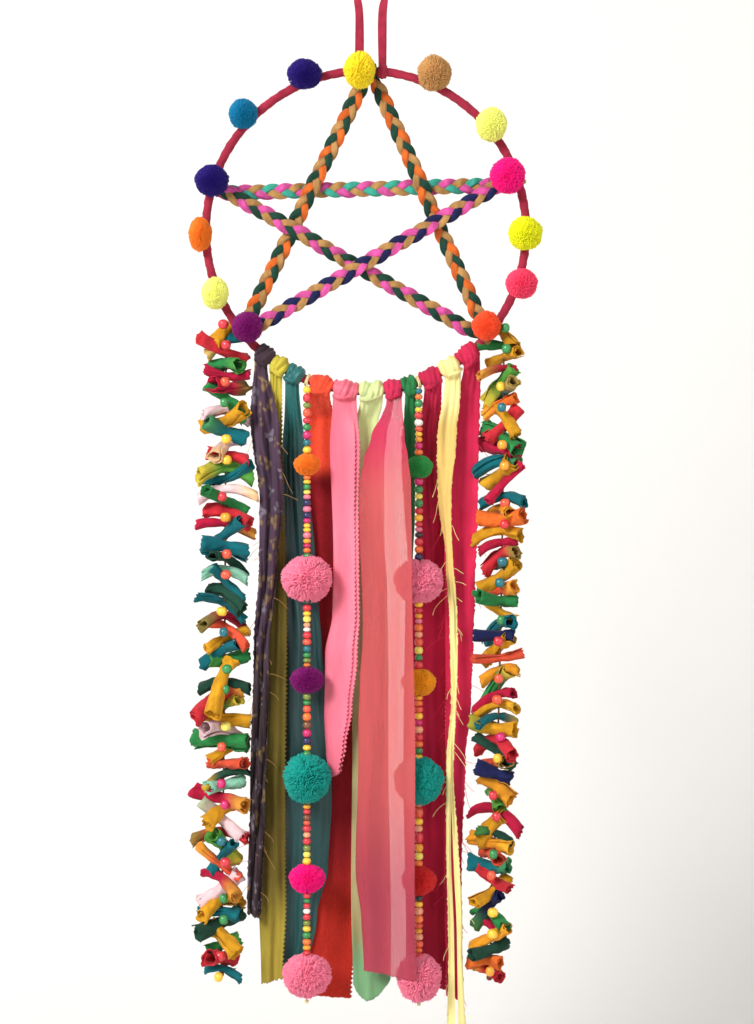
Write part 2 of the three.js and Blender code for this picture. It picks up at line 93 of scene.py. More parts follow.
# Hoop
CORE_RADIUS = 1.5
WRAP_RADIUS = 2.8
WRAP_PITCH = 6.5
WRAP_RIDGE = 0.3
WRAP_SUNK = 0.1
WRAP_ROUGH = 0.03
WRAP_STEPS_A_TURN = 10
WRAP_SIDES = 14
WRAP_SEED = 11

# Hanging loop: the same route as the solid
HANGER_WIDTH = 5.6
HANGER_THICK = 1.5
HANGER_BEND = 11.2
HANGER_STRAND_X = 7.2
HANGER_SHOULDER_X = 8.8
HANGER_SHOULDER_DROP = 24.0
HANGER_STRAIGHT_DROP = 36.0
HANGER_TWIST = (14.0, 34.0)
HANGER_TIE_WIDTH = 6.0
HANGER_TIE_RADIUS = 4.7
HANGER_STEP = 1.2
HANGER_SIDES = 20
HANGER_SQUARENESS = 0.55
HANGER_NARROWING = 0.06
HANGER_CUP = 0.22

# Ties wound round the hoop
TIE_STEPS = 40
TIE_SIDES = 25
TIE_SUNK = 0.3
TIE_TURN_RISE = 0.12

# Plaits
STRAND_WIDTH = 4.5
STRAND_THICK = 2.7
PLAIT_SWING = 2.7
PLAIT_RISE = 1.45
PLAIT_PITCH = 25.6
PLAIT_GATHER = 10.0
PLAIT_DRAWN_IN = 0.4
PLAIT_STEP = 0.8
CROSSING_RISE = 2.7
STRAND_SIDES = 24
STRAND_SQUARENESS = 0.85
STRAND_CREASES = ((4, 0.08), (7, 0.07))
STRAND_TIED_FULL = 0.62
PLAIT_TIE_WIDTH = 3.8
PLAIT_TIE_RADIUS = 4.9
PLAIT_SEED = 30

# Yarn balls: shares of the radius, apart from the counts, the seed and LARGE_BALL, a radius in mm
SMALL_TUFTS = 2600
SMALL_CLUMPS = 60
SMALL_DRAWN = 0.25
LARGE_TUFTS = 4200
LARGE_CLUMPS = 90
LARGE_DRAWN = 0.5
LARGE_BALL = 12.0
BALL_REACH = 0.97
BALL_UNEVEN = np.array([0.06, 0.0, 0.06])
BALL_SEED = 200
BALL_BACK_PRESSED = 0.97
TUFT_ROOT = 0.55
TUFT_WIDTH = 0.6
TUFT_JITTER = 0.03
TUFT_LEAN = 0.09
TUFT_UNEVEN = 0.055
# Painted light along a tuft: nought at its root, in painted shade, to one at its tip, in painted light
TUFT_LIGHT_ENDS = (0.0, 1.0)
CLUMP_JITTER = 0.12
CORE_SHARE = 0.82
CORE_ROWS = 12
CORE_SIDES = 20
# The core under the tufts is coloured as if mostly in painted shade
CORE_PAINTED_LIGHT = 0.45

# Beaded strings and garlands
THREAD_RADIUS = 0.5
THREAD_END = 1.5
THREAD_TIE_WIDTH = 2.2
THREAD_TIE_RADIUS = 4.2
THREAD_KNOT = (1.3, 1.2)
FIRST_BEAD = 4.2
BALL_SEAT = 0.84
BEAD_TURNS = 14
BEAD_ROWS = 9
BEAD_POLE = 1.32
BEAD_HOLE = 0.22
BEAD_HOLE_SUNK = 0.86
BEAD_FULL = 0.75
BEAD_LARGEST = 2.75
BEAD_LENGTH_SHARE = 0.98
GARLAND_CORD_RADIUS = 0.6
GARLAND_LENGTH = 408.0
GARLAND_STEPS = 16
GARLAND_TIE_REACH = 3.99
GARLAND_START = 2.0
GARLAND_TAPER = 0.25
GARLAND_TAPER_LENGTH = 60
GARLAND_KNOT = (1.9, 1.8)
GARLAND_BEAD_RADIUS = (2.7, 3.5)
GARLAND_BEAD_HALF = 2.9
GARLAND_BEAD_GROUP = 5
GARLAND_BEADS_IN_GROUP = 2
LONG_SCRAPS_DROP = 118
LONG_SCRAPS_SPAN = 45
LONG_SCRAPS_GAIN = 0.24
SCRAP_TURNS = 30
SCRAP_ROWS = 13
SCRAP_THICK = (8.2, 12.4)
SCRAP_PINCH = 0.74
SCRAP_FLARE = 0.14
SCRAP_CLOTH_THICK = 0.4

# Cloth
CLOTH_THICK = 0.5
SHEER_THICK = 0.2
ROW_STEP = 1.4
PINK_DEPTH = 0.7
PINK_PITCH = 2.8
FRAYED_EDGE = (-0.9, 0.5)
HEAD_REACH = 4.0
HEAD_SPREAD = 34.0
HEAD_FRONT = 1.2
HEAD_PLEAT_LENGTH = 26
FOOT_LENGTH = 60
FOOT_RAGGED = 0.6
SLIT_GAP = 0.8
SLIT_OPENING = 60
ACROSS_SCALE = 20
EDGE_SWAY = 0.45
STRIP_SEED = 400
KNOT_FULL = 0.7
KNOT_STEPS = 64
KNOT_SIDES = 41
KNOT_SUNK = 0.2
KNOT_RISE = 3.1
KNOT_LOWEST = 0.8
KNOT_BAND = (3.6, 2.2)
KNOT_BAND_SIDES = 16
KNOT_BAND_STEPS = 21
FRAYED_THREADS = 14
FRAY_LENGTH = (3, 13)
FRAY_THICK = 0.3
FRAY_PALER = 1.3
FRAY_COLOUR_DEPTH = 250.0

# Finishes. Depths of creases and the drift of the print are in metres
CREASE_DEPTH = 0.0009
CRIMSON_DEEPER = 0.82
STEEL_COLOUR = (0.45, 0.45, 0.46)
# Painted shade at the roots of yarn tufts and painted light at their tips
YARN_ROOT_PAINTED_SHADE, YARN_TIP_PAINTED_LIGHT = 0.66, 1.12
SHEER_COVER = (0.5, 0.68)
PRINT_SCALE = 82.0
PRINT_DRIFT = (0.004, 0.004, 0.0)
PRINT_DRIFT_SCALE = 220.0
PRINT_CREASE_DEPTH = 0.001
PETALS = 3.0
PETAL_DEPTH = 0.14

# Colours of cloth, beads and yarn; two cloth colours are painted shade
HEX = {
    "tan": "C8965A", "orange": "F5762E", "dark_green": "1F4A3A", "pink": "F060B0", "turquoise": "45B8A0",
    "navy": "1E2456", "red": "D8303C", "yellow": "FFC83A", "amber": "F0A028", "lemon": "F0E060",
    "olive": "7A8A3A", "green": "2E8A48", "leaf": "58A040", "teal": "0E6E78", "white": "F0EAE0",
    "peach": "F0A078", "brown": "7A4A30", "magenta": "D0206A", "mustard": "E0A020", "crimson": "C01840",
    "pale_pink": "F4D0D4", "coral": "E8583A", "mint": "90CDB0", "blush": "E87890", "cream": "FFF0B0",
    "black": "202428", "plum": "523C50", "wine": "403036", "citron": "D8C648", "moss": "6A5C24",
    "old_gold": "A8963A", "lagoon": "176260", "deep_teal": "0F3436", "flame": "F25034", "oxblood": "8C1720",
    "scarlet": "BE2C20", "rose": "E8687C", "candy": "F27C92", "shell": "EE7088", "lime_milk": "E2F0A8",
    "sage_milk": "D4D898", "fuchsia": "D03058", "coral_veil": "D25C5E", "dusk_veil": "B64456",
    "emerald": "2C8048", "pine": "2E5C38", "ruby": "CC2850", "garnet": "B41F3E", "butter": "FCEEA0",
    "straw": "F2CC78", "raspberry": "E62E58", "berry": "D0264E", "fern": "78A878", "khaki": "B4A676",
    "tide": "184A4A", "yarn_pink": "FA88A4", "yarn_teal": "18A094", "yarn_yellow": "FFE42C",
    "yarn_neon_yellow": "FDFF88", "yarn_blue": "0A7CA8", "yarn_indigo": "241070", "yarn_magenta": "FF1488",
    "yarn_orange": "FA8428",
}


def linear(name):
    """A named colour as linear red, green and blue."""
    value = HEX[name]
    parts = [int(value[i:i + 2], 16) / 255 for i in (0, 2, 4)]
    return [c / 12.92 if c <= 0.04045 else ((c + 0.055) / 1.055) ** 2.4 for c in parts]


def unit(vectors):
    return vectors / np.linalg.norm(vectors, axis=-1, keepdims=True)


def fan(turn, first, second):
    """Directions turned from the first towards the second."""
    return np.cos(turn)[..., None] * first + np.sin(turn)[..., None] * second


def run_along(path):
    """The length of a path up to each of its points."""
    return np.concatenate([[0], np.cumsum(np.linalg.norm(np.diff(path, axis=0), axis=1))])


def flat_place(across, down):
    """Where points lie on the flat cloth."""
    return np.stack(np.broadcast_arrays(across, down), -1)


def smooth(at, low, high):
    share = np.clip((np.asarray(at, float) - low) / (high - low), 0, 1)
    return share * share * (3 - 2 * share)


def eased(stops, at):
    """A value between given stops, eased from one to the next."""
    at = np.asarray(at, float)
    value = np.full(at.shape, float(stops[0][1]))
    for (low, first), (high, second) in zip(stops, stops[1:]):
        value = value + (second - first) * smooth(at, low, high)
    return value


def ripple(rng, u, d, across=1.5, along=120.0, waves=5):
    """Soft seeded unevenness over a cloth: slow waves of random tilt and phase."""
    total = 0
    for _ in range(waves):
        tilt = rng.uniform(-across, across)
        length = along * rng.uniform(0.5, 2)
        total = total + np.sin(TURN * (tilt * u + d / length) + rng.uniform(0, TURN))
    return total / waves


class Shape:
    """Points and faces of a mesh in the making, with a flat place, tint and painted-light share for each point."""

    def __init__(self):
        self.points, self.faces, self.flat, self.tint, self.painted_tuft_light = [], [], [], [], []
        self.count = 0

    def add(self, points, faces, flat=None, tint=(1, 1, 1), painted_tuft_light=1.0):
        points = np.asarray(points, float).reshape(-1, 3)
        size = len(points)
        flat = np.zeros((size, 2)) if flat is None else np.asarray(flat, float).reshape(-1, 2)
        self.points.append(points)
        self.faces.extend((np.asarray(face) + self.count).tolist() for face in faces)
        self.flat.append(flat)
        self.tint.append(np.broadcast_to(np.asarray(tint, float), (size, 3)))
        self.painted_tuft_light.append(np.broadcast_to(np.asarray(painted_tuft_light, float), (size,)))
        self.count += size
        return self


def grid_faces(rows, columns, wrap=False):
    """Quads of a grid of points held row by row. Wrap joins each row's last point to its first."""
    r = np.arange(rows - 1)[:, None] * columns
    c = np.arange(columns if wrap else columns - 1)[None, :]
    n = (c + 1) % columns
    return np.stack([r + c, r + n, r + columns + n, r + columns + c], -1).reshape(-1, 4)


def add_tube(shape, path, across, out, section, tint=(1, 1, 1)):
    """A closed section, as pairs of across and out offsets at each step, carried along a path."""
    steps, sides = len(path), section.shape[-2]
    section = np.broadcast_to(section, (steps, sides, 2))
    points = path[:, None] + section[..., :1] * across[:, None] + section[..., 1:] * out[:, None]
    along = run_along(path)
    girth = np.linalg.norm(np.diff(points[steps // 2], axis=0, append=points[steps // 2][:1]), axis=1)
    round_it = np.concatenate([[0], np.cumsum(girth)[:-1]])
    flat = flat_place(round_it[None, :], along[:, None])
    faces = list(grid_faces(steps, sides, wrap=True))
    faces.append(np.arange(sides)[::-1])
    faces.append(np.arange(sides) + (steps - 1) * sides)
    return shape.add(points, faces, flat, tint)


def frames_along(path, guide):
    """Unit vectors across and out of a path: across keeps close to the guide."""
    ahead = unit(np.gradient(path, axis=0))
    out = unit(np.cross(ahead, np.broadcast_to(guide, path.shape)))
    return np.cross(out, ahead), out


def oval(width, thick, sides, power=1.0):
    """A rounded flat section: pairs of across and out offsets."""
    turn = (np.arange(sides) + 0.5) / sides * TURN
    c, s = np.cos(turn), np.sin(turn)
    across = np.sign(c) * np.abs(c) ** power * width / 2
    out = np.sign(s) * np.abs(s) ** power * thick / 2
    return np.stack([across, out], -1)


def rounded(stops, step):
    """A smooth path through given points, at about even steps."""
    stops = np.asarray(stops, float)
    ends = np.concatenate([[2 * stops[0] - stops[1]], stops, [2 * stops[-1] - stops[-2]]])
    pieces = []
    for a, b, c, d in zip(ends, ends[1:], ends[2:], ends[3:]):
        t = np.linspace(0, 1, max(2, int(np.linalg.norm(c - b) / step)), endpoint=False)[:, None]
        turned = (2 * a - 5 * b + 4 * c - d) * t ** 2 + (3 * b - a - 3 * c + d) * t ** 3
        pieces.append(b + ((c - a) * t + turned) / 2)
    return np.concatenate(pieces + [stops[-1:]])


def put_in_scene(name, data):
    made = bpy.data.objects.new(name, data)
    bpy.context.scene.collection.objects.link(made)
    return made


def make_piece(name, shape, material, body, replaces=()):
    """The shape as a Blender object that rides on a body of the part."""
    mesh = bpy.data.meshes.new(name)
    points = np.concatenate(shape.points) * MM
    mesh.from_pydata(points.tolist(), [], shape.faces)
    corners = np.zeros(len(mesh.loops), np.int64)
    mesh.loops.foreach_get("vertex_index", corners)
    flat = mesh.uv_layers.new(name="flat")
    flat.data.foreach_set("uv", (np.concatenate(shape.flat)[corners] * MM).ravel())
    tint = mesh.attributes.new("tint", "FLOAT_COLOR", "POINT")
    colours = np.ones((shape.count, 4))
    colours[:, :3] = np.concatenate(shape.tint)
    tint.data.foreach_set("color", colours.ravel())
    # Share of painted light for yarn: painted shade at the tuft roots and core, painted light at the tips
    painted_tuft_light = mesh.attributes.new("painted_tuft_light", "FLOAT", "POINT")
    painted_tuft_light.data.foreach_set("value", np.concatenate(shape.painted_tuft_light))
    mesh.polygons.foreach_set("use_smooth", np.full(len(mesh.polygons), True))
    mesh.materials.append(material)
    mesh.validate()
    piece = put_in_scene(name, mesh)
    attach(piece, body)
    if replaces:
        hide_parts(*replaces)
    return piece


def thicken(piece, thick):
    """Gives a sheet of cloth its thickness, half to each side."""
    cloth = piece.modifiers.new("thickness", "SOLIDIFY")
    cloth.thickness = thick * MM
    cloth.offset = 0


def line_piece(name, stops, radius, material, body):
    """A round cord or thread along one open spline."""
    curve = bpy.data.curves.new(name, "CURVE")
    curve.dimensions = "3D"
    curve.bevel_depth = radius * MM
    curve.bevel_resolution = 2
    curve.use_fill_caps = True
    spline = curve.splines.new("POLY")
    spline.points.add(len(stops) - 1)
    for point, stop in zip(spline.points, stops):
        point.co = (*(np.asarray(stop) * MM), 1)
    curve.materials.append(material)
    piece = put_in_scene(name, curve)
    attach(piece, body)
    return piece


def box_of(node):
    low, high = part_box(node)
    return np.array(low) / MM, np.array(high) / MM


def joint_place(name):
    """A hinge's place, and the direction along the hoop there."""
    joint = JOINTS[name]
    return np.array(joint["pos_m"]) / MM, -np.array(joint["axis"], float)


core_low, core_high = box_of("hoop_core")
HOOP_CENTRE = (core_low + core_high) / 2
HOOP_RADIUS = (core_high[0] - core_low[0]) / 2 - CORE_RADIUS


def on_hoop(degrees, radius=HOOP_RADIUS):
    turn = np.radians(np.asarray(degrees, float))
    return HOOP_CENTRE + np.stack([radius * np.cos(turn), 0 * turn, radius * np.sin(turn)], -1)


def hoop_angle(arcs):
    """Degrees round the hoop at lengths of arc from its lowest point."""
    return np.degrees(arcs / HOOP_RADIUS) - 90


def along_hoop(degrees):
    turn = np.radians(np.asarray(degrees, float))
    return np.stack([-np.sin(turn), 0 * turn, np.cos(turn)], -1)


# Shader node groups
def start_group(name, inputs, outputs):
    group = bpy.data.node_groups.new(name, "ShaderNodeTree")
    for label, value in inputs:
        socket = group.interface.new_socket(label, in_out="INPUT", socket_type="NodeSocketFloat")
        socket.default_value = value
    for label in outputs:
        group.interface.new_socket(label, in_out="OUTPUT", socket_type="NodeSocketFloat")
    entry = group.nodes.new("NodeGroupInput")
    leave = group.nodes.new("NodeGroupOutput")
    return group, entry, leave


def node(tree, kind, links=(), **settings):
    """A new node with its settings, and with links from other sockets or values into its inputs."""
    made = tree.nodes.new(kind)
    for key, value in settings.items():
        setattr(made, key, value)
    for where, source in dict(links).items():
        if isinstance(source, bpy.types.NodeSocket):
            tree.links.new(source, made.inputs[where])
        else:
            made.inputs[where].default_value = source
    return made


def math_node(tree, operation, *values):
    return node(tree, "ShaderNodeMath", dict(enumerate(values)), operation=operation).outputs[0]


def ranged(tree, value, low, high, to_low, to_high):
    links = {"Value": value, "From Min": low, "From Max": high, "To Min": to_low, "To Max": to_high}
    return node(tree, "ShaderNodeMapRange", links).outputs["Result"]


def weave_group():
    """Crossing threads on the flat cloth: a height, and painted shade that is darker between threads."""
    group, entry, leave = start_group(
        "Woven Threads", [("Threads", 1400), ("Contrast", 0.2)], ["Height", "Shade"]
    )
    flat = node(group, "ShaderNodeUVMap", uv_map="flat")
    split = node(group, "ShaderNodeSeparateXYZ", {0: flat.outputs["UV"]})
    pitch = math_node(group, "MULTIPLY", entry.outputs["Threads"], math.pi)
    waves = []
    for axis in ("X", "Y"):
        place = math_node(group, "MULTIPLY", split.outputs[axis], pitch)
        waves.append(math_node(group, "SINE", place))
    crossed = math_node(group, "MULTIPLY", *waves)
    height = math_node(group, "MULTIPLY_ADD", crossed, 0.5, 0.5)
    low = math_node(group, "SUBTRACT", 1.0, entry.outputs["Contrast"])
    shade = math_node(group, "MULTIPLY_ADD", height, entry.outputs["Contrast"], low)
    group.links.new(height, leave.inputs["Height"])
    group.links.new(shade, leave.inputs["Shade"])
    return group


def mottle_group():
    """Slow unevenness of the dye in a cloth or yarn."""
    group, entry, leave = start_group(
        "Dye Mottle", [("Scale", 60), ("Low", 0.8), ("High", 1.1), ("Stretch", 1)], ["Shade"]
    )
    place = node(group, "ShaderNodeTexCoord")
    stretch = node(group, "ShaderNodeCombineXYZ", {0: 1.0, 1: 1.0, 2: entry.outputs["Stretch"]})
    links = {0: place.outputs["Object"], 1: stretch.outputs[0]}
    stretched = node(group, "ShaderNodeVectorMath", links, operation="MULTIPLY")
    links = {"Vector": stretched.outputs[0], "Scale": entry.outputs["Scale"], "Detail": 4.0}
    noise = node(group, "ShaderNodeTexNoise", links)
    shade = ranged(group, noise.outputs[0], 0.3, 0.7, entry.outputs["Low"], entry.outputs["High"])
    group.links.new(shade, leave.inputs["Shade"])
    return group


def crease_group():
    """Soft crumples that run down a cloth: a height, and painted shade that is darker in the hollows, with a touch
    of painted light on the ridges.
    """
    group, entry, leave = start_group(
        "Soft Creases", [("Scale", 160), ("Stretch", 0.35)], ["Height", "Shade"]
    )
    flat = node(group, "ShaderNodeUVMap", uv_map="flat")
    stretch = node(group, "ShaderNodeCombineXYZ", {0: 1.0, 1: entry.outputs["Stretch"], 2: 1.0})
    links = {0: flat.outputs["UV"], 1: stretch.outputs[0]}
    stretched = node(group, "ShaderNodeVectorMath", links, operation="MULTIPLY")
    links = {"Vector": stretched.outputs[0], "Scale": entry.outputs["Scale"], "Detail": 3.0}
    links["Distortion"] = 0.6
    noise = node(group, "ShaderNodeTexNoise", links)
    height = ranged(group, noise.outputs[0], 0.25, 0.75, 0.0, 1.0)
    # Painted shade in the hollows, a touch of painted light on the ridges
    shade = ranged(group, noise.outputs[0], 0.3, 0.6, 0.91, 1.02)
    group.links.new(height, leave.inputs["Height"])
    group.links.new(shade, leave.inputs["Shade"])
    return group


WEAVE = weave_group()
MOTTLE = mottle_group()
CREASE = crease_group()


def place_group(tree, group, **values):
    placed = node(tree, "ShaderNodeGroup", node_tree=group)
    for label, value in values.items():
        placed.inputs[label].default_value = value
    return placed


def new_material(name, roughness, sheen=0.0, specular=0.3):
    material = bpy.data.materials.new(name)
    material.use_nodes = True
    tree = material.node_tree
    shader = tree.nodes["Principled BSDF"]
    shader.inputs["Roughness"].default_value = roughness
    shader.inputs["Sheen Weight"].default_value = sheen
    shader.inputs["Specular IOR Level"].default_value = specular
    return material, tree, shader


def tint_of(tree):
    """The colour marked on the mesh."""
    return node(tree, "ShaderNodeAttribute", attribute_name="tint").outputs["Color"]


def paint(tree, shader, colour, *shades):
    """Gives a shader a colour, or a colour socket, darkened by each shade in turn."""
    if not isinstance(colour, bpy.types.NodeSocket):
        colour = (*colour, 1)
    for shade in shades:
        links = {"Factor": 1, 6: colour, 7: shade}
        mix = node(tree, "ShaderNodeMix", links, data_type="RGBA", blend_type="MULTIPLY")
        colour = mix.outputs[2]
    tree.links.new(colour, shader.inputs["Base Color"])


def bump(tree, shader, height, strength, distance):
    links = {"Height": height, "Strength": strength, "Distance": distance}
    made = node(tree, "ShaderNodeBump", links)
    tree.links.new(made.outputs["Normal"], shader.inputs["Normal"])


def cloth_material(name, colour=None, threads=1500, contrast=0.22, uneven=(0.82, 1.08), roughness=0.88,
                   sheen=0.06, mottle=70, stretch=0.25, depth=0.25, specular=0.18, creases=120, relief=0.4):
    """Woven cotton: threads over a slightly uneven dye. With no colour, the colour is marked on the mesh, on some
    strips with painted shade.
    """
    material, tree, shader = new_material(name, roughness, sheen, specular)
    if colour is None:
        colour = tint_of(tree)
    weave = place_group(tree, WEAVE, Threads=threads, Contrast=contrast)
    dye = place_group(tree, MOTTLE, Scale=mottle, Low=uneven[0], High=uneven[1], Stretch=stretch)
    crumple = place_group(tree, CREASE, Scale=creases)
    # Weave and creases give painted shade between threads and in hollows; the mottle is uneven dye
    paint(tree, shader, colour, weave.outputs["Shade"], dye.outputs["Shade"], crumple.outputs["Shade"])
    height = math_node(tree, "MULTIPLY_ADD", weave.outputs["Height"], depth, crumple.outputs["Height"])
    bump(tree, shader, height, relief, CREASE_DEPTH)
    return material


def yarn_material(name, colour):
    """Cut yarn with painted shade, darker down between the tufts and over the core, and painted light at the tips.
    """
    material, tree, shader = new_material(name, roughness=0.95, sheen=0.12, specular=0.1)
    painted_tuft_light = node(tree, "ShaderNodeAttribute", attribute_name="painted_tuft_light")
    painted_tuft_shading = ranged(tree, painted_tuft_light.outputs["Fac"], 0.0, 1.0, YARN_ROOT_PAINTED_SHADE, YARN_TIP_PAINTED_LIGHT)
    dye = place_group(tree, MOTTLE, Scale=420, Low=0.88, High=1.08, Stretch=1)
    paint(tree, shader, colour, painted_tuft_shading, dye.outputs["Shade"])
    return material


def bead_material():
    """Painted wooden beads under a thin lacquer."""
    material, tree, shader = new_material("painted_bead", roughness=0.32, specular=0.5)
    tint = tint_of(tree)
    dye = place_group(tree, MOTTLE, Scale=600, Low=0.85, High=1.08, Stretch=0.4)
    paint(tree, shader, tint, dye.outputs["Shade"])
    shader.inputs["Coat Weight"].default_value = 0.35
    shader.inputs["Coat Roughness"].default_value = 0.15
    return material


def satin_material(name):
    """Smooth cloth with a soft shine and faint lengthwise streaks."""
    return cloth_material(name, threads=2600, contrast=0.08, uneven=(0.88, 1.08), roughness=0.42,
                          mottle=120, stretch=0.06, depth=0.08, specular=0.42, creases=110)


def felt_material(name):
    """Thick matt cloth with little weave to see."""
    return cloth_material(name, threads=900, contrast=0.12, uneven=(0.85, 1.05), roughness=1.0,
                          sheen=0.15, mottle=500, stretch=1, depth=0.2, creases=90)


def chiffon_material(name):
    """Sheer cloth: threads with open air between them."""
    material, tree, shader = new_material(name, roughness=0.7, sheen=0.05, specular=0.2)
    tint = tint_of(tree)
    weave = place_group(tree, WEAVE, Threads=1900, Contrast=0.05)
    dye = place_group(tree, MOTTLE, Scale=55, Low=0.9, High=1.1, Stretch=0.12)
    crumple = place_group(tree, CREASE, Scale=130, Stretch=0.2)
    # The weave's shade is painted shade between the threads
    paint(tree, shader, tint, weave.outputs["Shade"], dye.outputs["Shade"])
    cover = ranged(tree, dye.outputs["Shade"], 0.9, 1.1, *SHEER_COVER)
    tree.links.new(cover, shader.inputs["Alpha"])
    bump(tree, shader, crumple.outputs["Height"], 0.4, CREASE_DEPTH)
    return material


def floral_material(name, gold, grey):
    """Printed cotton with a small scattered floral: soft leaves and blossoms over a dark ground."""
    material, tree, shader = new_material(name, roughness=0.88, sheen=0.06, specular=0.18)
    ground = tint_of(tree)
    flat = node(tree, "ShaderNodeUVMap", uv_map="flat")
    links = {"Vector": flat.outputs["UV"], "Scale": PRINT_DRIFT_SCALE, "Detail": 1.0}
    drift = node(tree, "ShaderNodeTexNoise", links)
    links = {0: drift.outputs["Color"], 1: (0.5, 0.5, 0.5)}
    off_centre = node(tree, "ShaderNodeVectorMath", links, operation="SUBTRACT")
    links = {0: off_centre.outputs[0], 1: PRINT_DRIFT, 2: flat.outputs["UV"]}
    bent = node(tree, "ShaderNodeVectorMath", links, operation="MULTIPLY_ADD")
    links = {0: bent.outputs[0], "Scale": PRINT_SCALE}
    place = node(tree, "ShaderNodeVectorMath", links, operation="SCALE")
    links = {"Vector": place.outputs[0], "Scale": 1.0}
    cells = node(tree, "ShaderNodeTexVoronoi", links, voronoi_dimensions="2D")
    links = {0: place.outputs[0], 1: cells.outputs["Position"]}
    offset = node(tree, "ShaderNodeVectorMath", links, operation="SUBTRACT")
    reach = node(tree, "ShaderNodeVectorMath", {0: offset.outputs[0]}, operation="LENGTH").outputs["Value"]
    split = node(tree, "ShaderNodeSeparateXYZ", {0: offset.outputs[0]})
    turn = math_node(tree, "ARCTAN2", split.outputs["Y"], split.outputs["X"])
    hue = node(tree, "ShaderNodeSeparateColor", {0: cells.outputs["Color"]})
    spin = math_node(tree, "MULTIPLY", hue.outputs["Red"], TURN)
    petals = math_node(tree, "COSINE", math_node(tree, "MULTIPLY_ADD", turn, PETALS, spin))
    bloom = math_node(tree, "MULTIPLY_ADD", hue.outputs["Blue"], 0.3, 0.08)
    edge = math_node(tree, "MULTIPLY_ADD", petals, PETAL_DEPTH, bloom)
    inside = math_node(tree, "SUBTRACT", edge, reach)
    flower = ranged(tree, inside, -0.05, 0.1, 0.0, 0.75)
    heart = ranged(tree, reach, 0.05, 0.12, 0.8, 0.0)
    pick = ranged(tree, hue.outputs["Green"], 0.5, 0.6, 0.0, 1.0)
    petal = node(tree, "ShaderNodeMix", {"Factor": pick, 6: (*gold, 1), 7: (*grey, 1)}, data_type="RGBA")
    links = {"Factor": flower, 6: ground, 7: petal.outputs[2]}
    printed = node(tree, "ShaderNodeMix", links, data_type="RGBA")
    links = {"Factor": heart, 6: printed.outputs[2], 7: ground}
    dotted = node(tree, "ShaderNodeMix", links, data_type="RGBA")
    weave = place_group(tree, WEAVE, Threads=1500, Contrast=0.25)
    dye = place_group(tree, MOTTLE, Scale=90, Low=0.7, High=1.15, Stretch=0.4)
    crumple = place_group(tree, CREASE, Scale=210)
    # Weave and creases give painted shade between threads and in hollows; the mottle is uneven dye
    shades = [group.outputs["Shade"] for group in (weave, dye, crumple)]
    paint(tree, shader, dotted.outputs[2], *shades)
    bump(tree, shader, crumple.outputs["Height"], 0.6, PRINT_CREASE_DEPTH)
    return material


def steel_material():
    material, tree, shader = new_material("drawn_steel", roughness=0.35)
    shader.inputs["Metallic"].default_value = 1
    dye = place_group(tree, MOTTLE, Scale=300, Low=0.7, High=1.0, Stretch=1)
    paint(tree, shader, STEEL_COLOUR, dye.outputs["Shade"])
    return material


CRIMSON = [CRIMSON_DEEPER * c for c in SLOT_COLOUR["crimson_cloth"]]
crimson_cotton = cloth_material("crimson_cotton", CRIMSON, mottle=200, stretch=1, uneven=(0.75, 1.1))
tie_thread = cloth_material("tie_thread", linear("cream"), threads=3000, contrast=0.4)
garland_cord = cloth_material("garland_cord", linear("brown"), threads=1200, contrast=0.5)
painted_bead = bead_material()
loose_thread = cloth_material("loose_thread", threads=3000, contrast=0.3)
scrap_cloth = cloth_material("scrap_cloth", contrast=0.25, uneven=(0.74, 1.12), mottle=160, stretch=1,
                             creases=260)


# Camera, light and backdrop
def make_camera():
    data = bpy.data.cameras.new("camera")
    data.sensor_width = SENSOR
    data.lens = SENSOR / 2 * CAMERA_DISTANCE / (VIEW_HEIGHT / 2)
    camera = put_in_scene("camera", data)
    camera.location = (VIEW_CENTRE[0] * MM, -CAMERA_DISTANCE * MM, VIEW_CENTRE[1] * MM)
    camera.rotation_euler = (math.pi / 2, 0, 0)
    bpy.context.scene.camera = camera


def make_lamp(name, place, size, power):
    data = bpy.data.lights.new(name, "AREA")
    data.size = size
    data.energy = power
    lamp = put_in_scene(name, data)
    lamp.location = place
    lamp.rotation_euler = (Vector(LAMP_AIM) - Vector(place)).to_track_quat("-Z", "Y").to_euler()


def seen_rays(tree):
    """One where the room is looked at or mirrored, and nought where it only gives light."""
    path = node(tree, "ShaderNodeLightPath")
    seen = math_node(tree, "MAXIMUM", path.outputs["Is Camera Ray"], path.outputs["Is Glossy Ray"])
    return math_node(tree, "MAXIMUM", seen, path.outputs["Is Transmission Ray"])


def make_light():
    for lamp in LAMPS:
        make_lamp(*lamp)
    world = bpy.data.worlds.new("soft_room")
    bpy.context.scene.world = world
    world.use_nodes = True
    tree = world.node_tree
    ground = tree.nodes["Background"]
    ground.inputs["Color"].default_value = ROOM_COLOUR
    strength = ranged(tree, seen_rays(tree), 0.0, 1.0, ROOM_LIGHT, ROOM_SEEN)
    tree.links.new(strength, ground.inputs["Strength"])


